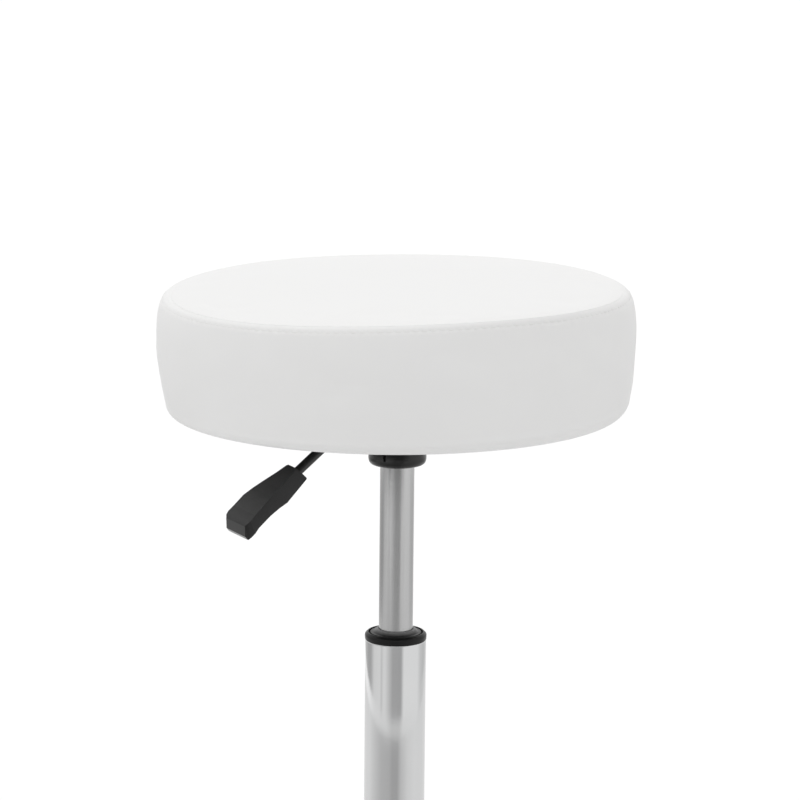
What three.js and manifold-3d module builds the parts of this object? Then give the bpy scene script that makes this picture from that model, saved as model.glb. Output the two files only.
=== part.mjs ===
// Counter stool: a round upholstered seat on a gas-lift swivel column, with a height lever,
// a loop footrest and a weighted trumpet base.
// Millimetres. +Z is up, -Y is the front, and the origin is on the floor under the column.

import * as THREE from 'three';
import { mergeVertices } from 'three/addons/utils/BufferGeometryUtils.js';
import Module from 'manifold-3d';

const wasm = await Module();
wasm.setup();

// Gaps between pieces. A seated piece rests in its place, a running piece moves in it.
const seatedGap = 0.2;
const runningGap = 0.3;
const cutOverrun = 1;

// Facets round a piece, by how wide it is.
const wideFacets = 48;
const tubeFacets = 28;
const smallFacets = 16;
const fineFacets = 12;
const hexSides = 6;
const crownSteps = 4;
const footSteps = 3;
const cornerSteps = 2;
const cupCornerSteps = 3;

// Travel of the gas lift below and above the photographed height, and room left at its stops.
const lift = { down: 125, up: 75, stopGap: 0.5 };

// Heading of the height lever round the column, from +X towards +Y.
const leverHeading = THREE.MathUtils.degToRad(222);

const seat = {
  rimHeight: 717,
  rimRadius: 187,
  crown: 8,
  crownPower: 2.4,
  fullRadius: 194.6,
  fullDrop: 22,
  footRadius: 189.5,
  depth: 100.5,
  cornerRadius: 13.6,
  coverThickness: 1.2,
  hemInnerRadius: 150,
};

const board = { radius: 176, thickness: 15 };

const dustCover = { thickness: 1, holeRadius: 42, boltHoleRadius: 4.6 };

const mountPlate = { size: 160, thickness: 2.5, cornerRadius: 14, boltSpacing: 120, boltHoleRadius: 4.4 };

const seatBolt = { radius: 4, headRadius: 7.5, headHeight: 5.5 };

const tNut = { flangeRadius: 10, flangeThickness: 1.5, barrelRadius: 5.5, barrelLength: 10 };

const housing = {
  bendGap: 3,
  rear: 34,
  width: 64,
  depth: 24,
  wall: 2,
  cornerRadius: 10,
  slotWidth: 12,
};

const cup = {
  drop: 44.15,
  radius: 23.75,
  cornerRadius: 6,
  shoulderGap: 0.2,
  neckRadius: 18,
  neckRise: 10,
};

const pressureTube = {
  radius: 14,
  wall: 1.5,
  taperRise: 26,
  taperNarrowing: 0.7,
  endHoleRadius: 5.6,
  topHoleRadius: 4.7,
  edge: 1,
};

const innerCylinder = { radius: 11, wall: 1.2 };
const rodSeal = { height: 6, radialGap: 0.2 };
const rodGuide = { height: 20 };
const valveBody = { height: 36, pinHoleRadius: 2.3, coneHeight: 4, coneRadius: 7 };

const lever = {
  rodRadius: 3.5,
  rodDrop: 10.3,
  rodSides: 8,
  rodSteps: 18,
  innerEnd: 4,
  pivotDistance: 32,
  bendDistance: 63.5,
  bendHalfLength: 8,
  gripDistance: 104,
  gripDrop: 34.7,
  hubRadius: 6,
  hubLength: 16,
  pinRadius: 2.5,
  pinHeadRadius: 4.2,
  pinHeadHeight: 1.6,
  rodInGrip: 26,
};

// The moulded grip, in its own frame: along it, across it and up from the rod's middle.
const grip = {
  length: 72,
  width: 24,
  thickness: 18,
  chamfer: 1.3,
  pitch: THREE.MathUtils.degToRad(28),
  roll: THREE.MathUtils.degToRad(-12),
};
// Along the top, along the underside, width, top and underside of each station.
const gripStationShares = [
  [0.08, -0.014, 0.42, 0.42, -0.44],
  [0.1, 0.01, 0.46, 0.444, -0.456],
  [0.236, 0.174, 0.56, 0.444, -0.556],
  [0.43, 0.375, 0.77, 0.444, -0.56],
  [0.555, 0.508, 0.875, 0.444, -0.4],
  [0.667, 0.667, 0.975, 0.444, -0.375],
  [0.833, 0.861, 0.985, 0.317, -0.428],
  [0.98, 0.975, 1, 0.215, -0.567],
  [1, 1.03, 0.93, 0.17, -0.36],
];

const releasePin = { radius: 2, tipRadius: 1.5, tipHeight: 1, depth: 27 };

const bracket = { length: 14, earThickness: 3, baseThickness: 2, sideGap: 0.3, rise: 20 };

const column = {
  topHeight: 425.7,
  bottomHeight: 15,
  radius: 25,
  wall: 1.5,
  taperHeight: 45,
  taperNarrowing: 1.5,
  floorThickness: 4,
  edge: 0.5,
};

const guideBush = {
  flangeRadius: 26,
  rimHeight: 3,
  faceHeight: 6,
  lipHeight: 9,
  lipWidth: 0.6,
  coneWidth: 5,
  grooveRadius: 22,
  grooveWidth: 1,
  grooveDepth: 1.4,
  sleeveDepth: 70,
};

const rod = { radius: 5, endHeight: 9, neckRadius: 4, pistonNeckRadius: 3.5, endEdge: 0.6 };
const retainingClip = { radius: 8, thickness: 1.5 };
const clipWasher = { radius: 10, thickness: 1.5 };
const race = { radius: 16, thickness: 2 };
const ball = { radius: 2.5, pitchRadius: 11, count: 8, pocketGap: 0.25, facets: 8, rows: 6 };
const cage = { innerRadius: 7.2, outerRadius: 14.8, height: 2.6 };
const bumper = { radius: 12.5, height: 16, waistRadius: 10.5 };
const piston = { height: 14, sealWidth: 3, sealDepth: 1.6, nutHeight: 4, nutRadius: 6 };

const hub = {
  radius: 33,
  bottomHeight: 8,
  flangeRadius: 62,
  flangeThickness: 5,
  boltPitchRadius: 48,
  boltCount: 4,
};

const baseBolt = { radius: 4, headRadius: 7.5, headHeight: 5.5, length: 16, holeRadius: 4.4 };

const ballast = { edgeHeight: 4, height: 13, shoulderRadius: 120 };

const shell = {
  rimRadius: 205,
  rimHeight: 12,
  rimRound: 3,
  neckHeight: 92,
  slopeRise: 20,
  flarePower: 4,
  wall: 2,
  flareSteps: 6,
  stepPower: 1.5,
};

const floorRing = { width: 15, soleHeight: 3, lipHeight: 8, lipWidth: 7, ledgeHeight: 3.8 };

const baseCollar = { radius: 32, height: 9, round: 4 };

const footrest = {
  height: 215,
  tubeRadius: 11,
  reach: 195,
  width: 250,
  sides: 10,
  steps: 36,
  collarRadius: 33,
  collarHeight: 40,
  collarEdge: 2,
  screwRadius: 4,
  screwHeadRadius: 6.5,
  screwHeadHeight: 5,
  screwDepth: 6.5,
  screwSocketRadius: 2.5,
  screwSocketDepth: 3,
  screwTurn: THREE.MathUtils.degToRad(45),
};
// Half of the loop's middle line, across and forwards, from the collar to the front.
const footrestLoopShares = [
  [0.12, 0.13],
  [0.39, 0.25],
  [0.77, 0.39],
  [0.99, 0.61],
  [0.81, 0.84],
  [0.42, 0.965],
  [0, 1],
];

// Heights that the pieces share, from the floor at rest.
const seatBottom = seat.rimHeight - seat.depth;
const boardBottom = seatBottom + seat.coverThickness + seatedGap;
const boardTop = boardBottom + board.thickness;
const plateTop = seatBottom;
const plateBottom = plateTop - mountPlate.thickness;
const housingTop = plateBottom - seatedGap;
const housingBottom = housingTop - housing.depth;
const cupBottom = seatBottom - cup.drop;
const tubeTop = cupBottom + pressureTube.taperRise;
const leverHeight = seatBottom - lever.rodDrop;
const lowerRaceBottom = column.bottomHeight + column.floorThickness + seatedGap;
const ballHeight = lowerRaceBottom + race.thickness + seatedGap + ball.radius;
const upperRaceBottom = ballHeight + ball.radius + seatedGap;
const bumperBottom = upperRaceBottom + race.thickness + seatedGap;
const bumperTop = bumperBottom + bumper.height;
const tubeBottom = bumperTop + lift.stopGap + lift.down;
const rodSealBottom = tubeBottom + pressureTube.wall + seatedGap;
const rodGuideBottom = rodSealBottom + rodSeal.height + seatedGap;
const rodGuideTop = rodGuideBottom + rodGuide.height;
const valveTop = tubeTop - pressureTube.wall - seatedGap;
const valveBottom = valveTop - valveBody.height;
const pistonBottom = rodGuideTop + seatedGap + lift.up + lift.stopGap;
const pistonTop = pistonBottom + piston.height;
const ballastBottom = floorRing.ledgeHeight + seatedGap;
const ballastTop = ballastBottom + ballast.height;
const hubFlangeBottom = ballastTop + seatedGap;
const hubFlangeTop = hubFlangeBottom + hub.flangeThickness;
const shellNeckRadius = column.radius + runningGap + shell.wall;
const housingFront = lever.bendDistance - lever.bendHalfLength - housing.bendGap;

// Finishes.
const finishes = {
  whiteLeather: finish(0xf0f0ee, 0.45, 0),
  chrome: finish(0xe4e6e8, 0.08, 1),
  satinSteel: finish(0xb4b4b4, 0.35, 1),
  blackGloss: finish(0x141414, 0.15, 0),
  blackPlastic: finish(0x333333, 0.5, 0),
  blackSteel: finish(0x1e1e1e, 0.35, 0.6),
  steel: finish(0x9a9a9a, 0.4, 1),
  castIron: finish(0x3c3c3c, 0.8, 0.5),
  rubber: finish(0x161616, 0.9, 0),
  plywood: finish(0xc79a66, 0.7, 0),
  foam: finish(0xe8dca8, 0.95, 0),
  backing: finish(0x2a2a2a, 0.95, 0),
  nylon: finish(0xd8d4c8, 0.5, 0),
};

function finish(color, roughness, metalness) {
  return new THREE.MeshStandardMaterial({ color, roughness, metalness });
}

function piece(name, geometry, material, parent) {
  const mesh = new THREE.Mesh(geometry, material);
  mesh.name = name;
  parent.add(mesh);
  return mesh;
}

// A solid of revolution about the vertical axis, from its [radius, height] outline.
function turned(points, facets) {
  const outline = points.map(([radius, height]) => new THREE.Vector2(radius, height));
  if (THREE.ShapeUtils.isClockWise(outline)) outline.reverse();
  if (outline[0].x > 0) outline.push(outline[0].clone());
  const geometry = new THREE.LatheGeometry(outline, facets);
  geometry.rotateX(Math.PI / 2);
  return geometry;
}

// A plain ring or washer between two heights.
function ring(innerRadius, outerRadius, bottom, top, facets) {
  const outline = [[innerRadius, bottom], [outerRadius, bottom], [outerRadius, top], [innerRadius, top]];
  return turned(outline, facets);
}

// A flat outline, with any holes, extruded upwards between two heights.
function slab(shape, bottom, top) {
  const geometry = new THREE.ExtrudeGeometry(shape, {
    depth: top - bottom,
    curveSegments: cornerSteps,
    bevelEnabled: false,
  });
  geometry.translate(0, 0, bottom);
  return geometry;
}

function circlePoints(x, y, radius, facets) {
  return circlePlaces(radius, facets).map(([across, along]) => new THREE.Vector2(x + across, y + along));
}

// A round disc outline with round holes at the given places.
function discShape(radius, facets, holePlaces, holeRadius) {
  const shape = new THREE.Shape(circlePoints(0, 0, radius, facets));
  addHoles(shape, holePlaces, holeRadius);
  return shape;
}

function addHoles(shape, places, radius) {
  for (const [x, y] of places) {
    shape.holes.push(new THREE.Path(circlePoints(x, y, radius, fineFacets)));
  }
}

function roundedRectangle(left, right, back, front, radius) {
  const shape = new THREE.Shape();
  shape.moveTo(left + radius, back);
  shape.absarc(right - radius, back + radius, radius, -Math.PI / 2, 0, false);
  shape.absarc(right - radius, front - radius, radius, 0, Math.PI / 2, false);
  shape.absarc(left + radius, front - radius, radius, Math.PI / 2, Math.PI, false);
  shape.absarc(left + radius, back + radius, radius, Math.PI, 1.5 * Math.PI, false);
  return shape;
}

// A rod along a curve, with flat closed ends.
function tubeAlong(curve, radius, sides, steps) {
  const section = new THREE.Shape(circlePoints(0, 0, radius, sides));
  return new THREE.ExtrudeGeometry(section, { steps, bevelEnabled: false, extrudePath: curve });
}

// A closed skin over rings of points that all have the same count.
function lofted(rings) {
  const count = rings[0].length;
  const positions = rings.flat().flatMap((point) => [point.x, point.y, point.z]);
  const index = [];
  for (let i = 0; i < rings.length - 1; i += 1) {
    for (let j = 0; j < count; j += 1) {
      const a = i * count + j;
      const b = i * count + ((j + 1) % count);
      index.push(a, b, b + count, a, b + count, a + count);
    }
  }
  const last = (rings.length - 1) * count;
  for (let j = 1; j < count - 1; j += 1) {
    index.push(0, j + 1, j);
    index.push(last, last + j, last + j + 1);
  }
  const geometry = new THREE.BufferGeometry();
  geometry.setAttribute('position', new THREE.Float32BufferAttribute(positions, 3));
  geometry.setIndex(index);
  return geometry;
}

// A closed geometry as a solid for joins and cuts, with the flat triangles at its poles left out.
function solid(geometry) {
  const bare = geometry.clone();
  bare.deleteAttribute('normal');
  bare.deleteAttribute('uv');
  const merged = mergeVertices(bare);
  const triangles = [];
  for (let i = 0; i < merged.index.count; i += 3) {
    const [a, b, c] = [0, 1, 2].map((corner) => merged.index.getX(i + corner));
    if (a !== b && b !== c && c !== a) triangles.push(a, b, c);
  }
  const vertProperties = merged.attributes.position.array;
  const triVerts = new Uint32Array(triangles);
  return new wasm.Manifold(new wasm.Mesh({ numProp: 3, vertProperties, triVerts }));
}

function geometryOf(manifold) {
  const mesh = manifold.getMesh();
  const geometry = new THREE.BufferGeometry();
  geometry.setAttribute('position', new THREE.BufferAttribute(mesh.vertProperties, 3));
  geometry.setIndex(new THREE.BufferAttribute(mesh.triVerts, 1));
  return geometry;
}

function cut(body, tools) {
  return geometryOf(tools.reduce((rest, tool) => rest.subtract(solid(tool)), solid(body)));
}

function joined(first, second) {
  return geometryOf(solid(first).add(solid(second)));
}

function cylinder(radius, bottom, top, facets) {
  const geometry = new THREE.CylinderGeometry(radius, radius, top - bottom, facets);
  geometry.rotateX(Math.PI / 2);
  geometry.translate(0, 0, (top + bottom) / 2);
  return geometry;
}

// A hexagon-head bolt along the vertical axis, with its head's bearing face at zero.
function hexBolt(radius, headRadius, headHeight, length) {
  const shank = cylinder(radius, -length, headHeight / 2, fineFacets);
  return joined(cylinder(headRadius, 0, headHeight, hexSides), shank);
}

// Square and round places of repeated pieces.
function squareCorners(spacing) {
  const half = spacing / 2;
  return [[half, half], [-half, half], [-half, -half], [half, -half]];
}

function circlePlaces(radius, count) {
  return Array.from({ length: count }, (_, i) => {
    const angle = (2 * Math.PI * i) / count;
    return [radius * Math.cos(angle), radius * Math.sin(angle)];
  });
}

// Seat cushion. Its outer surface runs from the crown over the sewn rim and down the swelling
// side to the drawn-in foot. An inset gives the layers under the cover.

function crownHeight(radius) {
  const share = Math.min(radius / seat.rimRadius, 1);
  return seat.rimHeight + seat.crown * (1 - share ** seat.crownPower);
}

function crownOutline(inset, edgeRadius) {
  return Array.from({ length: crownSteps + 1 }, (_, i) => {
    const radius = edgeRadius * Math.sqrt(i / crownSteps);
    return [radius, crownHeight(radius) - inset];
  });
}

function sideRadius(drop) {
  if (drop < seat.fullDrop) {
    const share = Math.sin((Math.PI / 2) * (drop / seat.fullDrop));
    return seat.rimRadius + (seat.fullRadius - seat.rimRadius) * share;
  }
  const cornerDrop = seat.depth - seat.cornerRadius;
  const share = (drop - seat.fullDrop) / (cornerDrop - seat.fullDrop);
  return seat.fullRadius - (seat.fullRadius - seat.footRadius) * share ** 2;
}

function sideOutline(inset, firstDrop) {
  const upperSteps = 3;
  const lowerSteps = 3;
  const cornerDrop = seat.depth - seat.cornerRadius;
  const points = [];
  for (let i = 0; i <= upperSteps; i += 1) {
    const drop = firstDrop + (seat.fullDrop - firstDrop) * (i / upperSteps);
    points.push([sideRadius(drop) - inset, seat.rimHeight - drop]);
  }
  for (let i = 1; i <= lowerSteps; i += 1) {
    const drop = seat.fullDrop + (cornerDrop - seat.fullDrop) * (i / lowerSteps);
    points.push([sideRadius(drop) - inset, seat.rimHeight - drop]);
  }
  return points;
}

// The rounded foot of the side, as far round as the layer goes.
function footOutline(inset, stepsTaken) {
  const centreRadius = seat.footRadius - seat.cornerRadius;
  const centreHeight = seatBottom + seat.cornerRadius;
  const radius = seat.cornerRadius - inset;
  return Array.from({ length: stepsTaken }, (_, i) => {
    const angle = (Math.PI / 2) * ((i + 1) / footSteps);
    return [centreRadius + radius * Math.cos(angle), centreHeight - radius * Math.sin(angle)];
  });
}

function seatCoverTop() {
  const upper = crownOutline(0, seat.rimRadius);
  const lower = crownOutline(seat.coverThickness, seat.rimRadius);
  return turned([...lower, ...upper.reverse()], wideFacets);
}

function seatCoverBand() {
  const firstDrop = seat.coverThickness + seatedGap;
  const outer = [
    ...sideOutline(0, firstDrop),
    ...footOutline(0, footSteps),
    [seat.hemInnerRadius, seatBottom],
  ];
  const hemTop = seatBottom + seat.coverThickness;
  const inner = [
    ...sideOutline(seat.coverThickness, firstDrop),
    ...footOutline(seat.coverThickness, footSteps),
    [seat.hemInnerRadius, hemTop],
  ];
  return turned([...outer, ...inner.reverse()], wideFacets);
}

function foamPad() {
  const inset = seat.coverThickness + seatedGap;
  const skirtRadius = board.radius + seatedGap;
  const foot = footOutline(inset, footSteps - 1).reverse();
  const bottom = boardTop + seatedGap;
  const outline = [
    [0, bottom],
    [skirtRadius, bottom],
    [skirtRadius, foot[0][1]],
    ...foot,
    ...sideOutline(inset, inset).reverse(),
    ...crownOutline(inset, seat.rimRadius - inset).reverse(),
  ];
  const pocketTop = bottom + tNut.flangeThickness + seatedGap;
  const pockets = squareCorners(mountPlate.boltSpacing).map(([x, y]) => {
    const pocket = cylinder(tNut.flangeRadius + seatedGap, bottom - cutOverrun, pocketTop, fineFacets);
    return pocket.translate(x, y, 0);
  });
  return cut(turned(outline, wideFacets), pockets);
}

// Seat base board, its nuts and the sheet under it.

function seatBoard() {
  const corners = squareCorners(mountPlate.boltSpacing);
  const shape = discShape(board.radius, wideFacets, corners, tNut.barrelRadius + seatedGap);
  return slab(shape, boardBottom, boardTop);
}

function seatDustCover() {
  const top = boardBottom - seatedGap;
  const corners = squareCorners(mountPlate.boltSpacing);
  const shape = discShape(seat.hemInnerRadius - seatedGap, wideFacets, corners, dustCover.boltHoleRadius);
  addHoles(shape, [[0, 0]], dustCover.holeRadius);
  return slab(shape, top - dustCover.thickness, top);
}

function seatNut() {
  const boreRadius = seatBolt.radius + seatedGap;
  const flangeBottom = boardTop + seatedGap;
  const outline = [
    [boreRadius, flangeBottom - tNut.barrelLength],
    [tNut.barrelRadius, flangeBottom - tNut.barrelLength],
    [tNut.barrelRadius, flangeBottom],
    [tNut.flangeRadius, flangeBottom],
    [tNut.flangeRadius, flangeBottom + tNut.flangeThickness],
    [boreRadius, flangeBottom + tNut.flangeThickness],
  ];
  return turned(outline, fineFacets);
}

function seatFastener() {
  const length = boardTop + tNut.flangeThickness - plateBottom;
  const bolt = hexBolt(seatBolt.radius, seatBolt.headRadius, seatBolt.headHeight, length);
  bolt.rotateX(Math.PI);
  return bolt.translate(0, 0, plateBottom - seatedGap);
}

// Lift mechanism under the seat.

function seatMountPlate() {
  const half = mountPlate.size / 2;
  const shape = roundedRectangle(-half, half, -half, half, mountPlate.cornerRadius);
  addHoles(shape, squareCorners(mountPlate.boltSpacing), mountPlate.boltHoleRadius);
  return slab(shape, plateBottom, plateTop);
}

function mechanismHousing() {
  const half = housing.width / 2;
  const wall = housing.wall;
  const outer = roundedRectangle(-housing.rear, housingFront, -half, half, housing.cornerRadius);
  const inner = roundedRectangle(
    wall - housing.rear,
    housingFront - wall,
    wall - half,
    half - wall,
    housing.cornerRadius - wall,
  );
  const slotHalf = housing.slotWidth / 2;
  const slotBottom = leverHeight - lever.rodRadius - 2 * seatedGap;
  const slotTop = housingTop + cutOverrun;
  const slot = new THREE.BoxGeometry(wall + 2 * cutOverrun, 2 * slotHalf, slotTop - slotBottom);
  slot.translate(housingFront - wall / 2, 0, (slotTop + slotBottom) / 2);
  const floorTop = housingBottom + wall;
  const neckHole = cylinder(
    cup.neckRadius + runningGap,
    housingBottom - cutOverrun,
    floorTop + cutOverrun,
    tubeFacets,
  );
  return cut(slab(outer, housingBottom, housingTop), [
    slab(inner, floorTop, housingTop + cutOverrun),
    neckHole,
    slot,
  ]);
}

// Radius of the gas tube at a height: straight below the cup and tapered inside it.
function tubeRadiusAt(height) {
  const share = Math.min(Math.max((height - cupBottom) / pressureTube.taperRise, 0), 1);
  return pressureTube.radius - pressureTube.taperNarrowing * share;
}

function socketCup() {
  const shoulder = housingBottom - cup.shoulderGap;
  const top = housingBottom + cup.neckRise;
  const corner = Array.from({ length: cupCornerSteps + 1 }, (_, i) => {
    const angle = (Math.PI / 2) * (i / cupCornerSteps);
    return [
      cup.radius - cup.cornerRadius * (1 - Math.sin(angle)),
      cupBottom + cup.cornerRadius * (1 - Math.cos(angle)),
    ];
  });
  const outline = [
    [tubeRadiusAt(cupBottom) + seatedGap, cupBottom],
    ...corner,
    [cup.radius, shoulder],
    [cup.neckRadius, shoulder],
    [cup.neckRadius, top],
    [tubeRadiusAt(top) + seatedGap, top],
  ];
  return turned(outline, tubeFacets);
}

function pivotBracket() {
  const inner = lever.hubLength / 2 + bracket.sideGap;
  const outer = inner + bracket.earThickness;
  const shape = new THREE.Shape();
  shape.moveTo(-outer, 0);
  shape.lineTo(outer, 0);
  shape.lineTo(outer, bracket.rise);
  shape.lineTo(inner, bracket.rise);
  shape.lineTo(inner, bracket.baseThickness);
  shape.lineTo(-inner, bracket.baseThickness);
  shape.lineTo(-inner, bracket.rise);
  shape.lineTo(-outer, bracket.rise);
  const body = new THREE.ExtrudeGeometry(shape, { depth: bracket.length, bevelEnabled: false });
  body.rotateX(Math.PI / 2);
  body.rotateZ(Math.PI / 2);
  body.translate(lever.pivotDistance - bracket.length / 2, 0, housingBottom + housing.wall + seatedGap);
  const hole = cylinder(lever.pinRadius + seatedGap, -outer - cutOverrun, outer + cutOverrun, fineFacets);
  hole.rotateX(Math.PI / 2);
  hole.translate(lever.pivotDistance, 0, leverHeight);
  return cut(body, [hole]);
}

function leverPivotPin() {
  const half = lever.hubLength / 2 + bracket.sideGap + bracket.earThickness + seatedGap;
  const outline = [
    [0, -half],
    [lever.pinRadius, -half],
    [lever.pinRadius, half],
    [lever.pinHeadRadius, half],
    [lever.pinHeadRadius, half + lever.pinHeadHeight],
    [0, half + lever.pinHeadHeight],
  ];
  const geometry = turned(outline, fineFacets);
  geometry.rotateX(Math.PI / 2);
  return geometry.translate(lever.pivotDistance, 0, leverHeight);
}

// Height lever: a bent rod that tips on its pivot and presses the release pin.

function leverPath() {
  const gripHeight = leverHeight + lever.rodDrop - lever.gripDrop;
  const slope = Math.atan2(leverHeight - gripHeight, lever.gripDistance - lever.bendDistance);
  const onSlope = (distance) => new THREE.Vector3(
    lever.bendDistance + distance * Math.cos(slope),
    0,
    leverHeight - distance * Math.sin(slope),
  );
  const slopeLength = Math.hypot(lever.gripDistance - lever.bendDistance, leverHeight - gripHeight);
  return new THREE.CatmullRomCurve3([
    new THREE.Vector3(-lever.innerEnd, 0, leverHeight),
    new THREE.Vector3(lever.pivotDistance, 0, leverHeight),
    new THREE.Vector3(lever.bendDistance - lever.bendHalfLength, 0, leverHeight),
    onSlope(lever.bendHalfLength),
    onSlope(slopeLength),
    onSlope(slopeLength + lever.rodInGrip),
  ]);
}

function leverRod() {
  const hubHalf = lever.hubLength / 2;
  const hubBody = cylinder(lever.hubRadius, -hubHalf, hubHalf, smallFacets);
  hubBody.rotateX(Math.PI / 2);
  hubBody.translate(lever.pivotDistance, 0, leverHeight);
  const boreHalf = hubHalf + cutOverrun;
  const bore = cylinder(lever.pinRadius + runningGap, -boreHalf, boreHalf, fineFacets);
  bore.rotateX(Math.PI / 2);
  bore.translate(lever.pivotDistance, 0, leverHeight);
  const bar = tubeAlong(leverPath(), lever.rodRadius, lever.rodSides, lever.rodSteps);
  return cut(joined(bar, hubBody), [bore]);
}

function gripBody() {
  const rings = gripStationShares.map(([topAlong, lowAlong, width, top, low]) => {
    const half = (grip.width * width) / 2;
    const high = grip.thickness * top;
    const deep = grip.thickness * low;
    const edge = grip.chamfer;
    const corners = [
      [half - edge, high],
      [half, high - edge],
      [half, deep + edge],
      [half - edge, deep],
      [edge - half, deep],
      [-half, deep + edge],
      [-half, high - edge],
      [edge - half, high],
    ];
    return corners.map(([across, up]) => {
      const share = (high - up) / (high - deep);
      const along = grip.length * (topAlong + (lowAlong - topAlong) * share);
      return new THREE.Vector3(along, across, up);
    });
  });
  return lofted(rings.reverse());
}

// The rod's blind socket in the grip is cut in the rod's own frame, before the grip is placed.
function leverGrip() {
  const body = gripBody();
  body.applyMatrix4(gripPlacement());
  const socket = tubeAlong(gripSocketPath(), lever.rodRadius + runningGap, lever.rodSides, 1);
  return cut(body, [socket]);
}

function gripPlacement() {
  const gripHeight = leverHeight + lever.rodDrop - lever.gripDrop;
  const turn = new THREE.Euler(grip.roll, grip.pitch, 0, 'YXZ');
  const matrix = new THREE.Matrix4().makeRotationFromEuler(turn);
  return matrix.setPosition(lever.gripDistance, 0, gripHeight);
}

function gripSocketPath() {
  const curve = leverPath();
  const end = curve.getPoint(1);
  const direction = curve.getTangent(1);
  const start = end.clone().addScaledVector(direction, -lever.rodInGrip - grip.thickness);
  return new THREE.LineCurve3(start, end.clone().addScaledVector(direction, runningGap));
}

function valveReleasePin() {
  const top = leverHeight - lever.rodRadius - runningGap;
  const outline = [
    [0, top - releasePin.depth],
    [releasePin.radius, top - releasePin.depth],
    [releasePin.radius, top - releasePin.tipHeight],
    [releasePin.tipRadius, top],
    [0, top],
  ];
  return turned(outline, fineFacets);
}

// Gas spring. The tube goes up and down with the seat, the rod stays in the column.

function gasTube() {
  const inner = pressureTube.radius - pressureTube.wall;
  const innerTop = tubeTop - pressureTube.wall;
  const outline = [
    [pressureTube.endHoleRadius, tubeBottom],
    [pressureTube.radius - pressureTube.edge, tubeBottom],
    [pressureTube.radius, tubeBottom + pressureTube.edge],
    [pressureTube.radius, cupBottom],
    [tubeRadiusAt(tubeTop), tubeTop],
    [pressureTube.topHoleRadius, tubeTop],
    [pressureTube.topHoleRadius, innerTop],
    [tubeRadiusAt(tubeTop) - pressureTube.wall, innerTop],
    [inner, cupBottom],
    [inner, tubeBottom + pressureTube.wall],
    [pressureTube.endHoleRadius, tubeBottom + pressureTube.wall],
  ];
  return turned(outline, tubeFacets);
}

function gasInnerCylinder() {
  const inner = innerCylinder.radius - innerCylinder.wall;
  return ring(inner, innerCylinder.radius, rodGuideTop + seatedGap, valveBottom - seatedGap, smallFacets);
}

function gasRodSeal() {
  const outer = pressureTube.radius - pressureTube.wall - rodSeal.radialGap;
  return ring(rod.radius + seatedGap, outer, rodSealBottom, rodSealBottom + rodSeal.height, smallFacets);
}

function gasRodGuide() {
  const outer = pressureTube.radius - pressureTube.wall - rodSeal.radialGap;
  return ring(rod.radius + runningGap, outer, rodGuideBottom, rodGuideTop, smallFacets);
}

function gasValveBody() {
  const outer = pressureTube.radius - pressureTube.wall - pressureTube.taperNarrowing - seatedGap;
  const outline = [
    [valveBody.pinHoleRadius, valveBottom],
    [valveBody.coneRadius, valveBottom],
    [outer, valveBottom + valveBody.coneHeight],
    [outer, valveTop],
    [valveBody.pinHoleRadius, valveTop],
  ];
  return turned(outline, smallFacets);
}

function pistonRod() {
  const clipBottom = column.bottomHeight - 2 * seatedGap - clipWasher.thickness - retainingClip.thickness;
  const nutTop = pistonTop + seatedGap + piston.nutHeight;
  const outline = [
    [0, rod.endHeight],
    [rod.radius - rod.endEdge, rod.endHeight],
    [rod.radius, rod.endHeight + rod.endEdge],
    [rod.radius, clipBottom - seatedGap],
    [rod.neckRadius, clipBottom - seatedGap],
    [rod.neckRadius, clipBottom + retainingClip.thickness + seatedGap],
    [rod.radius, clipBottom + retainingClip.thickness + seatedGap],
    [rod.radius, pistonBottom - seatedGap],
    [rod.pistonNeckRadius, pistonBottom - seatedGap],
    [rod.pistonNeckRadius, nutTop],
    [0, nutTop],
  ];
  return turned(outline, smallFacets);
}

function pistonBody() {
  const outer = innerCylinder.radius - innerCylinder.wall - runningGap;
  const bore = rod.pistonNeckRadius + seatedGap;
  const middle = (pistonBottom + pistonTop) / 2;
  const grooveBottom = middle - piston.sealWidth / 2 - seatedGap;
  const grooveTop = middle + piston.sealWidth / 2 + seatedGap;
  const outline = [
    [bore, pistonBottom],
    [outer, pistonBottom],
    [outer, grooveBottom],
    [outer - piston.sealDepth, grooveBottom],
    [outer - piston.sealDepth, grooveTop],
    [outer, grooveTop],
    [outer, pistonTop],
    [bore, pistonTop],
  ];
  return turned(outline, smallFacets);
}

function pistonSeal() {
  const outer = innerCylinder.radius - innerCylinder.wall - runningGap;
  const middle = (pistonBottom + pistonTop) / 2;
  const half = piston.sealWidth / 2;
  return ring(outer - piston.sealDepth + seatedGap, outer, middle - half, middle + half, smallFacets);
}

function pistonNut() {
  const bottom = pistonTop + seatedGap;
  const top = bottom + piston.nutHeight;
  const boreRadius = rod.pistonNeckRadius + seatedGap;
  const body = cylinder(piston.nutRadius, bottom, top, hexSides);
  return cut(body, [cylinder(boreRadius, bottom - cutOverrun, top + cutOverrun, smallFacets)]);
}

function rodBumper() {
  const bore = rod.radius + seatedGap;
  const outline = [
    [bore, bumperBottom],
    [bumper.radius, bumperBottom],
    [bumper.waistRadius, (bumperBottom + bumperTop) / 2],
    [bumper.radius, bumperTop - bumper.height / 4],
    [bumper.waistRadius, bumperTop],
    [bore, bumperTop],
  ];
  return turned(outline, smallFacets);
}

function rodClipWasher() {
  const top = column.bottomHeight - seatedGap;
  return ring(rod.radius + runningGap, clipWasher.radius, top - clipWasher.thickness, top, smallFacets);
}

function rodRetainingClip() {
  const top = column.bottomHeight - 2 * seatedGap - clipWasher.thickness;
  const bottom = top - retainingClip.thickness;
  return ring(rod.neckRadius + seatedGap, retainingClip.radius, bottom, top, smallFacets);
}

function bearingRace(bottom) {
  return ring(rod.radius + runningGap, race.radius, bottom, bottom + race.thickness, smallFacets);
}

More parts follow.
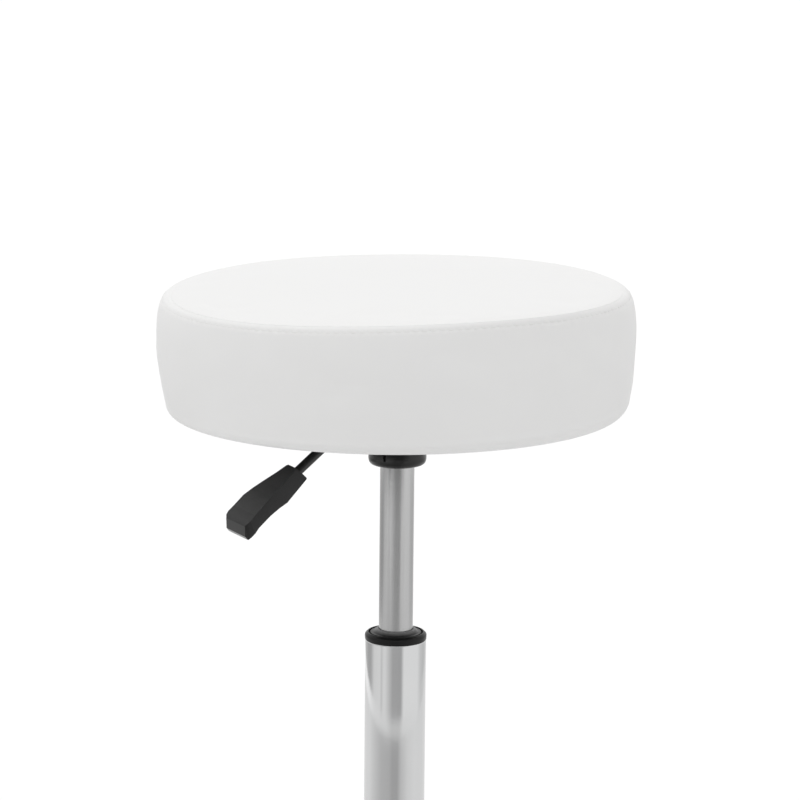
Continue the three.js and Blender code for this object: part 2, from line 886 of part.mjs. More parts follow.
function bearingCage() {
  const places = circlePlaces(ball.pitchRadius, ball.count);
  const shape = discShape(cage.outerRadius, smallFacets, places, ball.radius + ball.pocketGap);
  addHoles(shape, [[0, 0]], cage.innerRadius);
  return slab(shape, ballHeight - cage.height / 2, ballHeight + cage.height / 2);
}

// Column, its guide bush and the footrest.

function columnTube() {
  const inner = column.radius - column.wall;
  const bottomRadius = column.radius - column.taperNarrowing;
  const floorTop = column.bottomHeight + column.floorThickness;
  const taperTop = column.bottomHeight + column.taperHeight;
  const outline = [
    [rod.radius + runningGap, column.bottomHeight],
    [bottomRadius, column.bottomHeight],
    [column.radius, taperTop],
    [column.radius, column.topHeight - column.edge],
    [column.radius - column.edge, column.topHeight],
    [inner, column.topHeight],
    [inner, taperTop],
    [bottomRadius - column.wall, floorTop],
    [rod.radius + runningGap, floorTop],
  ];
  return turned(outline, tubeFacets);
}

function columnGuideBush() {
  const base = column.topHeight + seatedGap;
  const bore = pressureTube.radius + runningGap;
  const sleeve = column.radius - column.wall - seatedGap;
  const grooveOuter = guideBush.grooveRadius + guideBush.grooveWidth / 2;
  const grooveInner = guideBush.grooveRadius - guideBush.grooveWidth / 2;
  const face = base + guideBush.faceHeight;
  const outline = [
    [bore, column.topHeight - guideBush.sleeveDepth],
    [sleeve, column.topHeight - guideBush.sleeveDepth],
    [sleeve, base],
    [guideBush.flangeRadius, base],
    [guideBush.flangeRadius, base + guideBush.rimHeight],
    [(guideBush.flangeRadius + grooveOuter) / 2, face],
    [grooveOuter, face],
    [grooveOuter, face - guideBush.grooveDepth],
    [grooveInner, face - guideBush.grooveDepth],
    [grooveInner, face],
    [bore + guideBush.lipWidth + guideBush.coneWidth, face],
    [bore + guideBush.lipWidth, base + guideBush.lipHeight],
    [bore, base + guideBush.lipHeight],
  ];
  return turned(outline, tubeFacets);
}

function footrestCollar() {
  const bottom = footrest.height - footrest.collarHeight / 2;
  const top = footrest.height + footrest.collarHeight / 2;
  const bore = column.radius + seatedGap;
  const outline = [
    [bore, bottom],
    [footrest.collarRadius - footrest.collarEdge, bottom],
    [footrest.collarRadius, bottom + footrest.collarEdge],
    [footrest.collarRadius, top - footrest.collarEdge],
    [footrest.collarRadius - footrest.collarEdge, top],
    [bore, top],
  ];
  const holeRadius = footrest.screwRadius + seatedGap;
  const holes = footrestScrewAngles().map((angle) => {
    const hole = cylinder(holeRadius, column.radius, footrest.collarRadius + cutOverrun, fineFacets);
    hole.rotateX(-Math.PI / 2);
    hole.translate(0, 0, footrest.height);
    return hole.rotateZ(angle);
  });
  return cut(turned(outline, tubeFacets), holes);
}

// Turns about the column from the back of the collar to its two screws.
function footrestScrewAngles() {
  return [footrest.screwTurn, -footrest.screwTurn];
}

function footrestScrew(angle) {
  const headBottom = footrest.collarRadius + seatedGap;
  const headTop = headBottom + footrest.screwHeadHeight;
  const outline = [
    [0, headBottom - footrest.screwDepth],
    [footrest.screwRadius, headBottom - footrest.screwDepth],
    [footrest.screwRadius, headBottom],
    [footrest.screwHeadRadius, headBottom],
    [footrest.screwHeadRadius, headTop],
    [footrest.screwSocketRadius, headTop],
    [footrest.screwSocketRadius, headTop - footrest.screwSocketDepth],
    [0, headTop - footrest.screwSocketDepth],
  ];
  const geometry = turned(outline, fineFacets);
  geometry.rotateX(-Math.PI / 2);
  geometry.translate(0, 0, footrest.height);
  return geometry.rotateZ(angle);
}

function footrestLoop() {
  const halfWidth = footrest.width / 2 - footrest.tubeRadius;
  const reach = footrest.reach - footrest.tubeRadius;
  const side = (sign) => footrestLoopShares.map(([across, forwards]) => (
    new THREE.Vector3(sign * halfWidth * across, -reach * forwards, footrest.height)
  ));
  const right = side(1);
  const left = side(-1).reverse().slice(1);
  const curve = new THREE.CatmullRomCurve3([...right, ...left]);
  const loop = tubeAlong(curve, footrest.tubeRadius, footrest.sides, footrest.steps);
  const bottom = footrest.height - footrest.collarHeight;
  const top = footrest.height + footrest.collarHeight;
  return cut(loop, [cylinder(footrest.collarRadius + seatedGap, bottom, top, tubeFacets)]);
}

// Base: hub, ballast, spun shell and floor ring.

function columnHub() {
  const taperTop = column.bottomHeight + column.taperHeight;
  const narrow = column.radius - column.taperNarrowing + seatedGap;
  const wide = column.radius + seatedGap;
  const outline = [
    [narrow, hub.bottomHeight],
    [hub.radius, hub.bottomHeight],
    [hub.radius, hubFlangeBottom],
    [hub.flangeRadius, hubFlangeBottom],
    [hub.flangeRadius, hubFlangeTop],
    [hub.radius, hubFlangeTop],
    [hub.radius, taperTop],
    [wide, taperTop],
    [narrow, column.bottomHeight],
  ];
  return cut(turned(outline, tubeFacets), hubBoltHoles(hubFlangeBottom, hubFlangeTop));
}

function hubBoltHoles(bottom, top) {
  return circlePlaces(hub.boltPitchRadius, hub.boltCount).map(([x, y]) => {
    const hole = cylinder(baseBolt.holeRadius, bottom - cutOverrun, top + cutOverrun, fineFacets);
    return hole.translate(x, y, 0);
  });
}

function hubBolt() {
  const bolt = hexBolt(baseBolt.radius, baseBolt.headRadius, baseBolt.headHeight, baseBolt.length);
  return bolt.translate(0, 0, hubFlangeTop + seatedGap);
}

function baseBallast() {
  const inner = hub.radius + runningGap;
  const outer = shell.rimRadius - shell.wall - floorRing.lipWidth - 2 * seatedGap;
  const outline = [
    [inner, ballastBottom],
    [outer, ballastBottom],
    [outer, ballastBottom + ballast.edgeHeight],
    [ballast.shoulderRadius, ballastTop],
    [inner, ballastTop],
  ];
  return cut(turned(outline, wideFacets), hubBoltHoles(ballastBottom, ballastTop));
}

// Outer height of the spun shell at a radius, and its slope there.
function shellHeight(radius) {
  const share = (shell.rimRadius - radius) / (shell.rimRadius - shellNeckRadius);
  const flareRise = shell.neckHeight - shell.rimHeight - shell.slopeRise;
  return shell.rimHeight + shell.slopeRise * share + flareRise * share ** shell.flarePower;
}

function shellSlope(radius) {
  const span = shell.rimRadius - shellNeckRadius;
  const share = (shell.rimRadius - radius) / span;
  const flareRise = shell.neckHeight - shell.rimHeight - shell.slopeRise;
  return -(shell.slopeRise + flareRise * shell.flarePower * share ** (shell.flarePower - 1)) / span;
}

function baseShell() {
  const flareEnd = shell.rimRadius - shell.rimRound;
  const radii = Array.from({ length: shell.flareSteps + 1 }, (_, i) => {
    const share = (i / shell.flareSteps) ** shell.stepPower;
    return shellNeckRadius + (flareEnd - shellNeckRadius) * share;
  });
  const outer = radii.map((radius) => [radius, shellHeight(radius)]);
  const inner = radii.map((radius) => {
    const slope = shellSlope(radius);
    const length = Math.hypot(1, slope);
    return [radius + (shell.wall * slope) / length, shellHeight(radius) - shell.wall / length];
  });
  const rimBottom = floorRing.soleHeight + seatedGap;
  const outline = [
    ...outer,
    [shell.rimRadius, shellHeight(flareEnd) - shell.rimRound],
    [shell.rimRadius, rimBottom],
    [shell.rimRadius - shell.wall, rimBottom],
    [shell.rimRadius - shell.wall, shellHeight(flareEnd) - shell.rimRound - shell.wall / 2],
    ...inner.reverse(),
  ];
  return turned(outline, wideFacets);
}

function baseFloorRing() {
  const outer = shell.rimRadius;
  const lipOuter = outer - shell.wall - seatedGap;
  const lipInner = lipOuter - floorRing.lipWidth;
  const outline = [
    [outer - floorRing.width, 0],
    [outer, 0],
    [outer, floorRing.soleHeight],
    [lipOuter, floorRing.soleHeight],
    [lipOuter, floorRing.lipHeight],
    [lipInner, floorRing.lipHeight],
    [lipInner, floorRing.ledgeHeight],
    [outer - floorRing.width, floorRing.ledgeHeight],
  ];
  return turned(outline, wideFacets);
}

function baseNeckCollar() {
  const bottom = shell.neckHeight + seatedGap;
  const top = bottom + baseCollar.height;
  const bore = column.radius + seatedGap;
  const outline = [
    [bore, bottom],
    [baseCollar.radius, bottom],
    [baseCollar.radius, top - baseCollar.round],
    [baseCollar.radius - baseCollar.round / 3, top - baseCollar.round / 3],
    [baseCollar.radius - baseCollar.round, top],
    [bore, top],
  ];
  return turned(outline, tubeFacets);
}

const group = new THREE.Group();

function buildBase(parent) {
  piece('base_shell', baseShell(), finishes.chrome, parent);
  piece('base_ballast', baseBallast(), finishes.castIron, parent);
  piece('base_floor_ring', baseFloorRing(), finishes.rubber, parent);
  piece('base_hub', columnHub(), finishes.steel, parent);
  piece('base_neck_collar', baseNeckCollar(), finishes.blackPlastic, parent);
  circlePlaces(hub.boltPitchRadius, hub.boltCount).forEach(([x, y], i) => {
    piece(`base_bolt_${i + 1}`, hubBolt(), finishes.steel, parent).position.set(x, y, 0);
  });
  piece('outer_column', columnTube(), finishes.chrome, parent);
  piece('guide_bush', columnGuideBush(), finishes.blackGloss, parent);
  piece('lower_race', bearingRace(lowerRaceBottom), finishes.steel, parent);
  piece('footrest_collar', footrestCollar(), finishes.chrome, parent);
  piece('footrest_loop', footrestLoop(), finishes.chrome, parent);
  footrestScrewAngles().forEach((angle, i) => {
    piece(`footrest_screw_${i + 1}`, footrestScrew(angle), finishes.blackSteel, parent);
  });
}

function buildBearing(parent) {
  piece('bearing_cage', bearingCage(), finishes.nylon, parent);
  circlePlaces(ball.pitchRadius, ball.count).forEach(([x, y], i) => {
    const geometry = new THREE.SphereGeometry(ball.radius, ball.facets, ball.rows);
    piece(`bearing_ball_${i + 1}`, geometry, finishes.steel, parent).position.set(x, y, ballHeight);
  });
}

function buildSpindle(parent) {
  piece('piston_rod', pistonRod(), finishes.steel, parent);
  piece('piston', pistonBody(), finishes.steel, parent);
  piece('piston_seal', pistonSeal(), finishes.rubber, parent);
  piece('piston_nut', pistonNut(), finishes.steel, parent);
  piece('rod_bumper', rodBumper(), finishes.rubber, parent);
  piece('upper_race', bearingRace(upperRaceBottom), finishes.steel, parent);
  piece('clip_washer', rodClipWasher(), finishes.steel, parent);
  piece('retaining_clip', rodRetainingClip(), finishes.blackSteel, parent);
}

function buildGasSpring(parent) {
  piece('pressure_tube', gasTube(), finishes.satinSteel, parent);
  piece('inner_cylinder', gasInnerCylinder(), finishes.steel, parent);
  piece('rod_guide', gasRodGuide(), finishes.nylon, parent);
  piece('rod_seal', gasRodSeal(), finishes.rubber, parent);
  piece('valve_body', gasValveBody(), finishes.steel, parent);
}

function buildMechanism(parent) {
  piece('socket_cup', socketCup(), finishes.blackGloss, parent);
  piece('mount_plate', seatMountPlate(), finishes.blackSteel, parent);
  piece('mechanism_housing', mechanismHousing(), finishes.blackSteel, parent);
  piece('pivot_bracket', pivotBracket(), finishes.blackSteel, parent);
  piece('lever_pivot_pin', leverPivotPin(), finishes.steel, parent);
  piece('lever_rod', leverRod(), finishes.blackSteel, parent);
  piece('lever_grip', leverGrip(), finishes.blackPlastic, parent);
  piece('release_pin', valveReleasePin(), finishes.steel, parent);
}

function buildSeat(parent) {
  piece('seat_board', seatBoard(), finishes.plywood, parent);
  piece('foam_pad', foamPad(), finishes.foam, parent);
  piece('seat_cover_top', seatCoverTop(), finishes.whiteLeather, parent);
  piece('seat_cover_band', seatCoverBand(), finishes.whiteLeather, parent);
  piece('dust_cover', seatDustCover(), finishes.backing, parent);
  squareCorners(mountPlate.boltSpacing).forEach(([x, y], i) => {
    piece(`seat_nut_${i + 1}`, seatNut(), finishes.steel, parent).position.set(x, y, 0);
    piece(`seat_bolt_${i + 1}`, seatFastener(), finishes.steel, parent).position.set(x, y, 0);
  });
}

buildBase(group);
buildBearing(group);
buildSpindle(group);

// The seat and all that turns with it, with its own +X axis along the lever.
const swivel = new THREE.Group();
swivel.rotation.z = leverHeading;
group.add(swivel);
buildGasSpring(swivel);
buildMechanism(swivel);
buildSeat(swivel);

export default group;
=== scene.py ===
"""Counter stool: the finish of its cushion, gas lift, lever, footrest and base, built round the
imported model. Metres, +Z up, -Y to the front."""
import math

import bmesh
import bpy
import numpy as np
from mathutils import Matrix, Vector
from mathutils.kdtree import KDTree

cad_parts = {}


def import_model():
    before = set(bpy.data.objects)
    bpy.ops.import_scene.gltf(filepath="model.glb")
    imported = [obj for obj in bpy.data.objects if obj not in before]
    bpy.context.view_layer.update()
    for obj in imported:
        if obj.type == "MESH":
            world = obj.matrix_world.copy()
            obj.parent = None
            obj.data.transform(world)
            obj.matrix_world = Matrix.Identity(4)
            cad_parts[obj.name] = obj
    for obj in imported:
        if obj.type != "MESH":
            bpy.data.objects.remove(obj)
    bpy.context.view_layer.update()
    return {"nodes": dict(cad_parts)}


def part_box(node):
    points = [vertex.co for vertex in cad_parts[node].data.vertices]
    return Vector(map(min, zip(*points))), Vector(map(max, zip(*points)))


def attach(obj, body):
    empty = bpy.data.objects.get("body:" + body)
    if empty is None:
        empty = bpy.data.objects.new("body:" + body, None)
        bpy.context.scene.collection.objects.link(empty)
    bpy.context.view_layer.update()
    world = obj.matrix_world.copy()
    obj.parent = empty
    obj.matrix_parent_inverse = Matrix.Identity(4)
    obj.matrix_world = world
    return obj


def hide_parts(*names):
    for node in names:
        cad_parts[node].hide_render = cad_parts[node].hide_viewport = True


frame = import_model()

# Sizes

LEVER_HEADING = math.radians(222)

# Cushion: the sewn rim, the fullest part of its side and the drawn-in foot.
SEAT_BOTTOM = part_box("seat_cover_band")[0].z
CROWN_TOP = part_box("seat_cover_top")[1].z
RIM_HEIGHT = 0.717
RIM_RADIUS = 0.187
CROWN_POWER = 2.4
HEM_RADIUS = 0.150
BOARD_EDGE = 0.004
COVER = 0.0012
FIT = 0.0002

# Sizes that vary a little round the seat: the mean, then the size and heading of the first waves.
RIM_LIFT = (0.0001, (0.0036, -4), (0.0013, -104), (0.0011, 110))
RIM_SHIFT = (-0.0028, (0.0030, -106), (0.0034, -180), (0.0027, -101))
RIM_ROLL = (0.0008, (0.0006, -100))
FULL_RADIUS = (0.1936, (0.0022, 133))
FULL_DROP = (0.0356, (0.0072, 2))
FOOT_DRAW = (0.0058, (0.0013, -166))
FOOT_LIFT = (-0.0007, (0.0011, -47))
FOOT_CORNER = (0.01205, (0.0033, 12))
# The side swells out at once under the rim, and then slowly.
SWELL_POWER = 11.0
SLOW_SWELL = 0.45

# Stitches round the band, under the rim.
STITCH_COUNT = 178
STITCH_DROP = 0.0047
THREAD_RADIUS = 0.00025
STITCH_FILL = 0.66

# Staples that hold the cover's hem to the board.
STAPLE_COUNT = 84
STAPLE_RADIUS = 0.158
STAPLE_LENGTH = 0.0095
STAPLE_WIRE = 0.0005
STAPLE_SCATTER = 0.25


# Shader and geometry nodes


class Wire:
    """An output socket that sums, products and powers turn into Math nodes."""

    def __init__(self, tree, socket):
        self.tree = tree
        self.socket = socket

    def math(self, operation, first, second):
        node = self.tree.nodes.new("ShaderNodeMath")
        node.operation = operation
        plug(self.tree, node.inputs[0], first)
        plug(self.tree, node.inputs[1], second)
        return Wire(self.tree, node.outputs[0])

    def __add__(self, other):
        return self.math("ADD", self, other)

    def __radd__(self, other):
        return self.math("ADD", other, self)

    def __rsub__(self, other):
        return self.math("SUBTRACT", other, self)

    def __mul__(self, other):
        return self.math("MULTIPLY", self, other)

    def __pow__(self, other):
        return self.math("POWER", self, other)

    def or_more(self, other):
        return self.math("MAXIMUM", self, other)


def plug(tree, socket, value):
    if isinstance(value, Wire):
        tree.links.new(value.socket, socket)
    else:
        socket.default_value = value


class Nodes:
    """A node tree, cleared, and a method that adds a node with its settings and values."""

    def __init__(self, tree):
        self.tree = tree
        tree.nodes.clear()

    def node(self, kind, settings=None, values=None, output=0):
        made = self.tree.nodes.new(kind)
        for name, value in (settings or {}).items():
            setattr(made, name, value)
        for socket, value in (values or {}).items():
            plug(self.tree, made.inputs[socket], value)
        return Wire(self.tree, made.outputs[output]) if made.outputs else made


def opaque(colour):
    """A colour with its alpha, from a grey or from red, green and blue."""
    red, green, blue = colour if isinstance(colour, tuple) else (colour,) * 3
    return red, green, blue, 1


# The sockets of a colour mix: its two colours, and its result.
MIX_FIRST = 6
MIX_SECOND = 7
MIX_RESULT = 2


class Finish(Nodes):
    """A material for one slot of the record, with the patterns that its surface uses."""

    def __init__(self, slot):
        self.slot = slot
        self.material = bpy.data.materials.new(slot)
        self.material.use_nodes = True
        super().__init__(self.material.node_tree)
        self.place = self.node("ShaderNodeTexCoord", output="Object")

    def noise(self, scale, detail):
        """Noise at one scale, or with one scale for each axis."""
        values = {"Vector": self.place, "Scale": scale}
        if isinstance(scale, tuple):
            values = {"Vector": self.node("ShaderNodeMapping", values=values), "Scale": 1}
        return self.node("ShaderNodeTexNoise", values={**values, "Detail": detail})

    def cells(self, scale, feature="F1"):
        values = {"Vector": self.place, "Scale": scale}
        return self.node("ShaderNodeTexVoronoi", {"feature": feature}, values)

    def pattern(self, scale, detail):
        return self.noise(scale, detail) if detail else self.cells(scale)

    def mixed(self, share, first, second):
        values = {"Factor": share, MIX_FIRST: opaque(first), MIX_SECOND: opaque(second)}
        return self.node("ShaderNodeMix", {"data_type": "RGBA"}, values, MIX_RESULT)

    def bump(self, height, distance, strength):
        values = {"Height": height, "Distance": distance, "Strength": strength}
        return self.node("ShaderNodeBump", values=values)

    def surface(self, **values):
        named = {key.replace("_", " "): value for key, value in values.items()}
        shader = self.node("ShaderNodeBsdfPrincipled", values=named)
        self.node("ShaderNodeOutputMaterial", values={"Surface": shader})
        return self


# Finishes


def coat(slot, tone, relief, dark, light, rough, bump, **more):
    """A finish from two patterns, each a scale and a detail, or cells where there is no detail.
    Its roughness is a base and what the tone and the relief add, its bump a depth and a
    strength. The colour and the height are shares of the tone and of the relief."""
    finish = Finish(slot)
    tone = finish.pattern(*tone)
    relief = finish.pattern(*relief)
    colour = more.get("colour", (1, 0))
    height = more.get("height", (0, 1))
    return finish.surface(
        Base_Color=finish.mixed(tone * colour[0] + relief * colour[1], dark, light),
        Metallic=more.get("metallic", 0.0),
        Roughness=rough[0] + tone * rough[1] + relief * rough[2],
        Normal=finish.bump(tone * height[0] + relief * height[1], *bump),
        Specular_IOR_Level=more.get("specular", 0.5),
    )


def white_leather():
    finish = Finish("white_leather")
    pores = finish.cells(820, "DISTANCE_TO_EDGE")
    grain = finish.noise(1500, 3)
    tone = finish.noise(14, 3)
    return finish.surface(
        Base_Color=finish.mixed(tone, (0.865, 0.862, 0.855), (0.885, 0.884, 0.880)),
        Roughness=0.40 + tone * 0.14,
        Normal=finish.bump(pores * 0.7 + grain * 0.5, 0.00007, 0.6),
        Specular_IOR_Level=0.42,
    )


def bush_black():
    """The bush's moulding, paler near the tube, fading out between 15.2 and 19.2 mm from the axis."""
    finish = Finish("gloss_black")
    smear = finish.noise(60, 4)
    scuffs = finish.noise((300, 300, 2000), 3)
    parts = finish.node("ShaderNodeSeparateXYZ", values={"Vector": finish.place}).socket.node.outputs
    x, y = Wire(finish.tree, parts["X"]), Wire(finish.tree, parts["Y"])
    radius = (x * x + y * y) ** 0.5
    near_tube = finish.node(
        "ShaderNodeMapRange",
        {"interpolation_type": "SMOOTHSTEP"},
        {"Value": radius, "From Min": 0.0152, "From Max": 0.0192, "To Min": 1.0, "To Max": 0.0},
    )
    paleness = near_tube * (0.65 + smear * 0.5)
    return finish.surface(
        Base_Color=finish.mixed(paleness, 0.009, 0.27),
        Roughness=0.2 + smear * 0.2,
        Normal=finish.bump(scuffs, 0.00003, 0.5),
        Specular_IOR_Level=0.17,
    )


def black_plastic():
    """Moulded plastic, made greyer by the painted light in its facets' shade attribute."""
    finish = Finish("black_plastic")
    sparks = finish.noise(2400, 3)
    tone = finish.noise(60, 3)
    shade = finish.node("ShaderNodeAttribute", {"attribute_name": "shade"}, output="Fac")
    return finish.surface(
        Base_Color=finish.mixed(shade + tone * 0.02, 0.009, 0.36),
        Roughness=0.42 + tone * 0.16,
        Normal=finish.bump(sparks, 0.00006, 0.7),
        Specular_IOR_Level=0.24,
    )


FINISHES = {
    made.slot: made
    for made in (
        white_leather(),
        coat("satin_steel", ((900, 900, 16), 3), ((60, 60, 5200), 4), 0.45, 0.50,
             (0.16, 0, 0.08), (0.00002, 0.5), height=(0.4, 0.6), metallic=1.0),
        coat("chrome", (18, 4), (160, 1), (0.62, 0.625, 0.63), 0.68,
             (0.04, 0.06, 0), (0.00002, 0.3), metallic=1.0),
        coat("gloss_black", (40, 4), (260, 2), 0.002, 0.004,
             (0.03, 0.06, 0), (0.00003, 0.2), specular=0.4),
        black_plastic(),
        coat("black_steel", (45, 3), (700, 2), 0.017, 0.026,
             (0.36, 0.2, 0), (0.00004, 0.5)),
        coat("steel", (90, 3), ((500, 500, 40), 4), (0.42, 0.43, 0.44), (0.56, 0.56, 0.55),
             (0.28, 0, 0.18), (0.00003, 0.5), metallic=1.0),
        coat("cast_iron", (30, 4), (420, 4), (0.035, 0.034, 0.033), (0.062, 0.056, 0.050),
             (0.62, 0.25, 0), (0.0004, 0.8), metallic=0.3),
        coat("rubber", (80, 4), (1200, 2), 0.012, (0.024, 0.023, 0.022),
             (0.66, 0.2, 0), (0.00008, 0.6)),
        coat("plywood", ((8, 130, 40), 4), ((2, 2, 700), 1), (0.44, 0.28, 0.15), (0.70, 0.52, 0.32),
             (0.6, 0.2, 0), (0.0002, 0.6), height=(1, 0), colour=(0.5, 0.5)),
        coat("foam", (20, 3), (900, None), (0.76, 0.70, 0.46), (0.84, 0.79, 0.56),
             (0.95, 0, 0), (0.0006, 0.8)),
        coat("backing", ((500, 2600, 900), 5), (420, None), (0.016, 0.016, 0.017), (0.034, 0.034, 0.036),
             (0.9, 0, 0), (0.0002, 0.8), height=(0.6, 0.6)),
        coat("nylon", (120, 3), (120, 3), (0.66, 0.63, 0.55), (0.76, 0.73, 0.66),
             (0.38, 0.15, 0), (0.00008, 0.5)),
    )
}
THREAD = coat("white_leather", (3200, 2), (3200, 2), (0.78, 0.775, 0.765), (0.88, 0.876, 0.868),
              (0.6, 0, 0), (0.0001, 0.7))
BUSH_BLACK = bush_black()


# Meshes

# Faces that fold by more than this meet in a sharp edge, and by less than this are one face.
SHARP_FOLD = math.radians(40)
FLAT_FOLD = math.radians(1)


def put(name, data):
    """A new object in the scene."""
    item = bpy.data.objects.new(name, data)
    bpy.context.scene.collection.objects.link(item)
    return item


def smooth(mesh):
    mesh.polygons.foreach_set("use_smooth", [True] * len(mesh.polygons))
    return mesh


def new_piece(name, points, faces):
    """A closed mesh at the origin, smooth apart from its sharp folds."""
    mesh = bpy.data.meshes.new(name)
    mesh.from_pydata([tuple(p) for p in points], [], faces)
    form = bmesh.new()
    form.from_mesh(mesh)
    bmesh.ops.remove_doubles(form, verts=form.verts, dist=1e-7)
    bmesh.ops.recalc_face_normals(form, faces=form.faces)
    form.to_mesh(mesh)
    form.free()
    smooth(mesh).set_sharp_from_angle(angle=SHARP_FOLD)
    return put(name, mesh)


def dress(piece, finish, body, *replaced):
    """Gives a piece its finish, or that of a slot, the body that it moves with and the nodes
    that it stands for."""
    finish = FINISHES.get(finish, finish)
    piece.data.materials.clear()
    piece.data.materials.append(finish.material)
    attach(piece, body)
    if replaced:
        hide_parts(*replaced)
    return piece


def copied(name, node, bevel, slot, body):
    """A piece that is its CAD node with rounded edges."""
    return dress(refined(name, node, bevel), slot, body, node)


def lathe(name, node, slot, body, segments, corners, steps=5):
    """A turned piece with rounded corners, in place of a node."""
    return dress(turned(name, eased(corners, steps), segments), slot, body, node)


def ends(node):
    """The lowest and the highest point of a node."""
    low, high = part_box(node)
    return low.z, high.z


def turn_to_lever(piece):
    piece.data.transform(Matrix.Rotation(LEVER_HEADING, 4, "Z"))
    return piece


def bridge(first, first_count, second, second_count):
    """Faces between two rings of points, whose counts are alike or one twice the other."""
    faces = []
    if first_count == second_count:
        for i in range(first_count):
            j = (i + 1) % first_count
            faces.append((first + i, first + j, second + j, second + i))
        return faces
    if first_count < second_count:
        return [face[::-1] for face in bridge(second, second_count, first, first_count)]
    for k in range(second_count):
        left = first + 2 * k
        middle = left + 1
        right = first + (2 * k + 2) % first_count
        low = second + k
        high = second + (k + 1) % second_count
        faces += [(left, middle, low), (middle, high, low), (middle, right, high)]
    return faces


def skin(name, rings, closed):
    """A piece from rings of points. An open run of rings is closed by a point at either end."""
    points = []
    faces = []
    starts = []
    for ring in rings:
        starts.append(len(points))
        points += ring.tolist()
    pairs = list(zip(range(len(rings)), range(1, len(rings))))
    if closed:
        pairs.append((len(rings) - 1, 0))
    for a, b in pairs:
        faces += bridge(starts[a], len(rings[a]), starts[b], len(rings[b]))
    if not closed:
        for index in (0, len(rings) - 1):
            pole = len(points)
            points.append(rings[index].mean(axis=0).tolist())
            count = len(rings[index])
            start = starts[index]
            faces += [(start + i, start + (i + 1) % count, pole) for i in range(count)]
    return new_piece(name, points, faces)


def headings(count):
    return np.arange(count) * (2 * math.pi / count)


def ring_at(heading, radius, height):
    radius = np.broadcast_to(radius, heading.shape)
    height = np.broadcast_to(height, heading.shape)
    return np.stack([radius * np.cos(heading), radius * np.sin(heading), height], axis=-1)


def eased(corners, steps=5):
    """An outline whose [radius, height, rounding] corners are rounded."""
    outline = []
    count = len(corners)
    for i, (radius, height, rounding) in enumerate(corners):
        here = Vector((radius, height))
        if rounding <= 0:
            outline.append(tuple(here))
            continue
        before = Vector(corners[i - 1][:2]) - here
        after = Vector(corners[(i + 1) % count][:2]) - here
        reach = rounding / math.tan(before.angle(after) / 2)
        start = here + before.normalized() * min(reach, before.length / 2)
        end = here + after.normalized() * min(reach, after.length / 2)
        for k in range(steps + 1):
            t = k / steps
            outline.append(tuple(start * (1 - t) ** 2 + here * 2 * t * (1 - t) + end * t ** 2))
    return outline


def turned(name, outline, segments):
    """A piece of revolution from a closed outline of radius and height."""
    heading = headings(segments)
    rings = [ring_at(heading, radius, height) for radius, height in outline]
    return skin(name, rings, True)


def refined(name, node, bevel):
    """A copy of a CAD node with its flat faces joined and its edges rounded."""
    mesh = frame["nodes"][node].data.copy()
    mesh.name = name
    form = bmesh.new()
    form.from_mesh(mesh)
    bmesh.ops.remove_doubles(form, verts=form.verts, dist=1e-6)
    bmesh.ops.dissolve_limit(form, angle_limit=FLAT_FOLD, verts=form.verts, edges=form.edges)
    form.to_mesh(mesh)
    form.free()
    return rounded(put(name, smooth(mesh)), bevel, steps=3, degrees=32)


def rounded(piece, width, steps, degrees):
    """The piece with the edges rounded that fold by more than the angle."""
    rounding = piece.modifiers.new("edges", "BEVEL")
    rounding.width = width
    rounding.segments = steps
    rounding.limit_method = "ANGLE"
    rounding.angle_limit = math.radians(degrees)
    return settled(piece)


def settled(piece):
    """The piece as its modifiers leave it, as a plain mesh."""
    bpy.context.view_layer.update()
    shown = piece.evaluated_get(bpy.context.evaluated_depsgraph_get())
    mesh = bpy.data.meshes.new_from_object(shown)
    piece.modifiers.clear()
    piece.data = mesh
    smooth(mesh).set_sharp_from_angle(angle=SHARP_FOLD)
    return piece


def smooth_step(value, low, high):
    t = np.clip((value - low) / (high - low), 0, 1)
    return t * t * (3 - 2 * t)


def bell(value, width):
    return np.exp(-((value / width) ** 2))


# Cushion


def waves(heading, terms):
    """A size that varies round the seat, from its mean and its first waves."""
    total = np.full_like(heading, terms[0])
    for order, (size, peak) in enumerate(terms[1:], start=1):
        total += size * np.cos(order * heading - math.radians(peak))
    return total


def seam_line(heading):
    return RIM_RADIUS + waves(heading, RIM_SHIFT), RIM_HEIGHT + waves(heading, RIM_LIFT)


def ripple(heading, across, lowest, highest, seed):
    """Small folds of many lengths along the seam, sheared a little across it."""
    draw = np.random.default_rng(seed)
    total = np.zeros_like(heading)
    for _ in range(RIPPLE_WAVES):
        order = draw.integers(lowest, highest)
        lean = draw.uniform(-120, 120)
        total += np.cos(order * heading + draw.uniform(0, 6.28) + lean * across)
    return total / math.sqrt(RIPPLE_WAVES)


# The leather's relief near the rim.
RIPPLE_WAVES = 14
ROLL_WIDTH = 0.0060
EDGE_ROLL = 0.00025
EDGE_WIDTH = 0.0012
PUCKER = 0.00009
PUCKER_REACH = 0.016
PUCKER_ORDERS = (60, 170)
# The thickness of the turned-in edges, from where it rises to where it ends: band, then top.
WELT = 0.00006
BAND_WELT = ((0.0004, 0.0022), (0.0075, 0.0095))
CROWN_WELT = ((0.0004, 0.003), (0.006, 0.012))
CROWN_WELT_SHARE = 0.6
STITCH_PULL = 0.00011
PULL_WIDTH = 0.0011
HOLE_DEPTH = 0.00036
HOLE_LENGTH = 0.0013
HOLE_WIDTH = 0.0010

# The blown-up cover: size of its cells, pressure, frames and longest move.
CLOTH_EDGE = 0.006
CLOTH_PRESSURE = 4.0
CLOTH_FRAMES = 20
CLOTH_LIMIT = 0.005
# How much of its unevenness is used, and the rings and headings at which it is kept.
CLOTH_SHARE = 0.5
CLOTH_HEADINGS = 120
FOOT_RINGS = 2
SIDE_RINGS = 13
CROWN_RINGS = 25
CROWN_EDGE = 0.95
CROWN_MIDDLE = 0.05
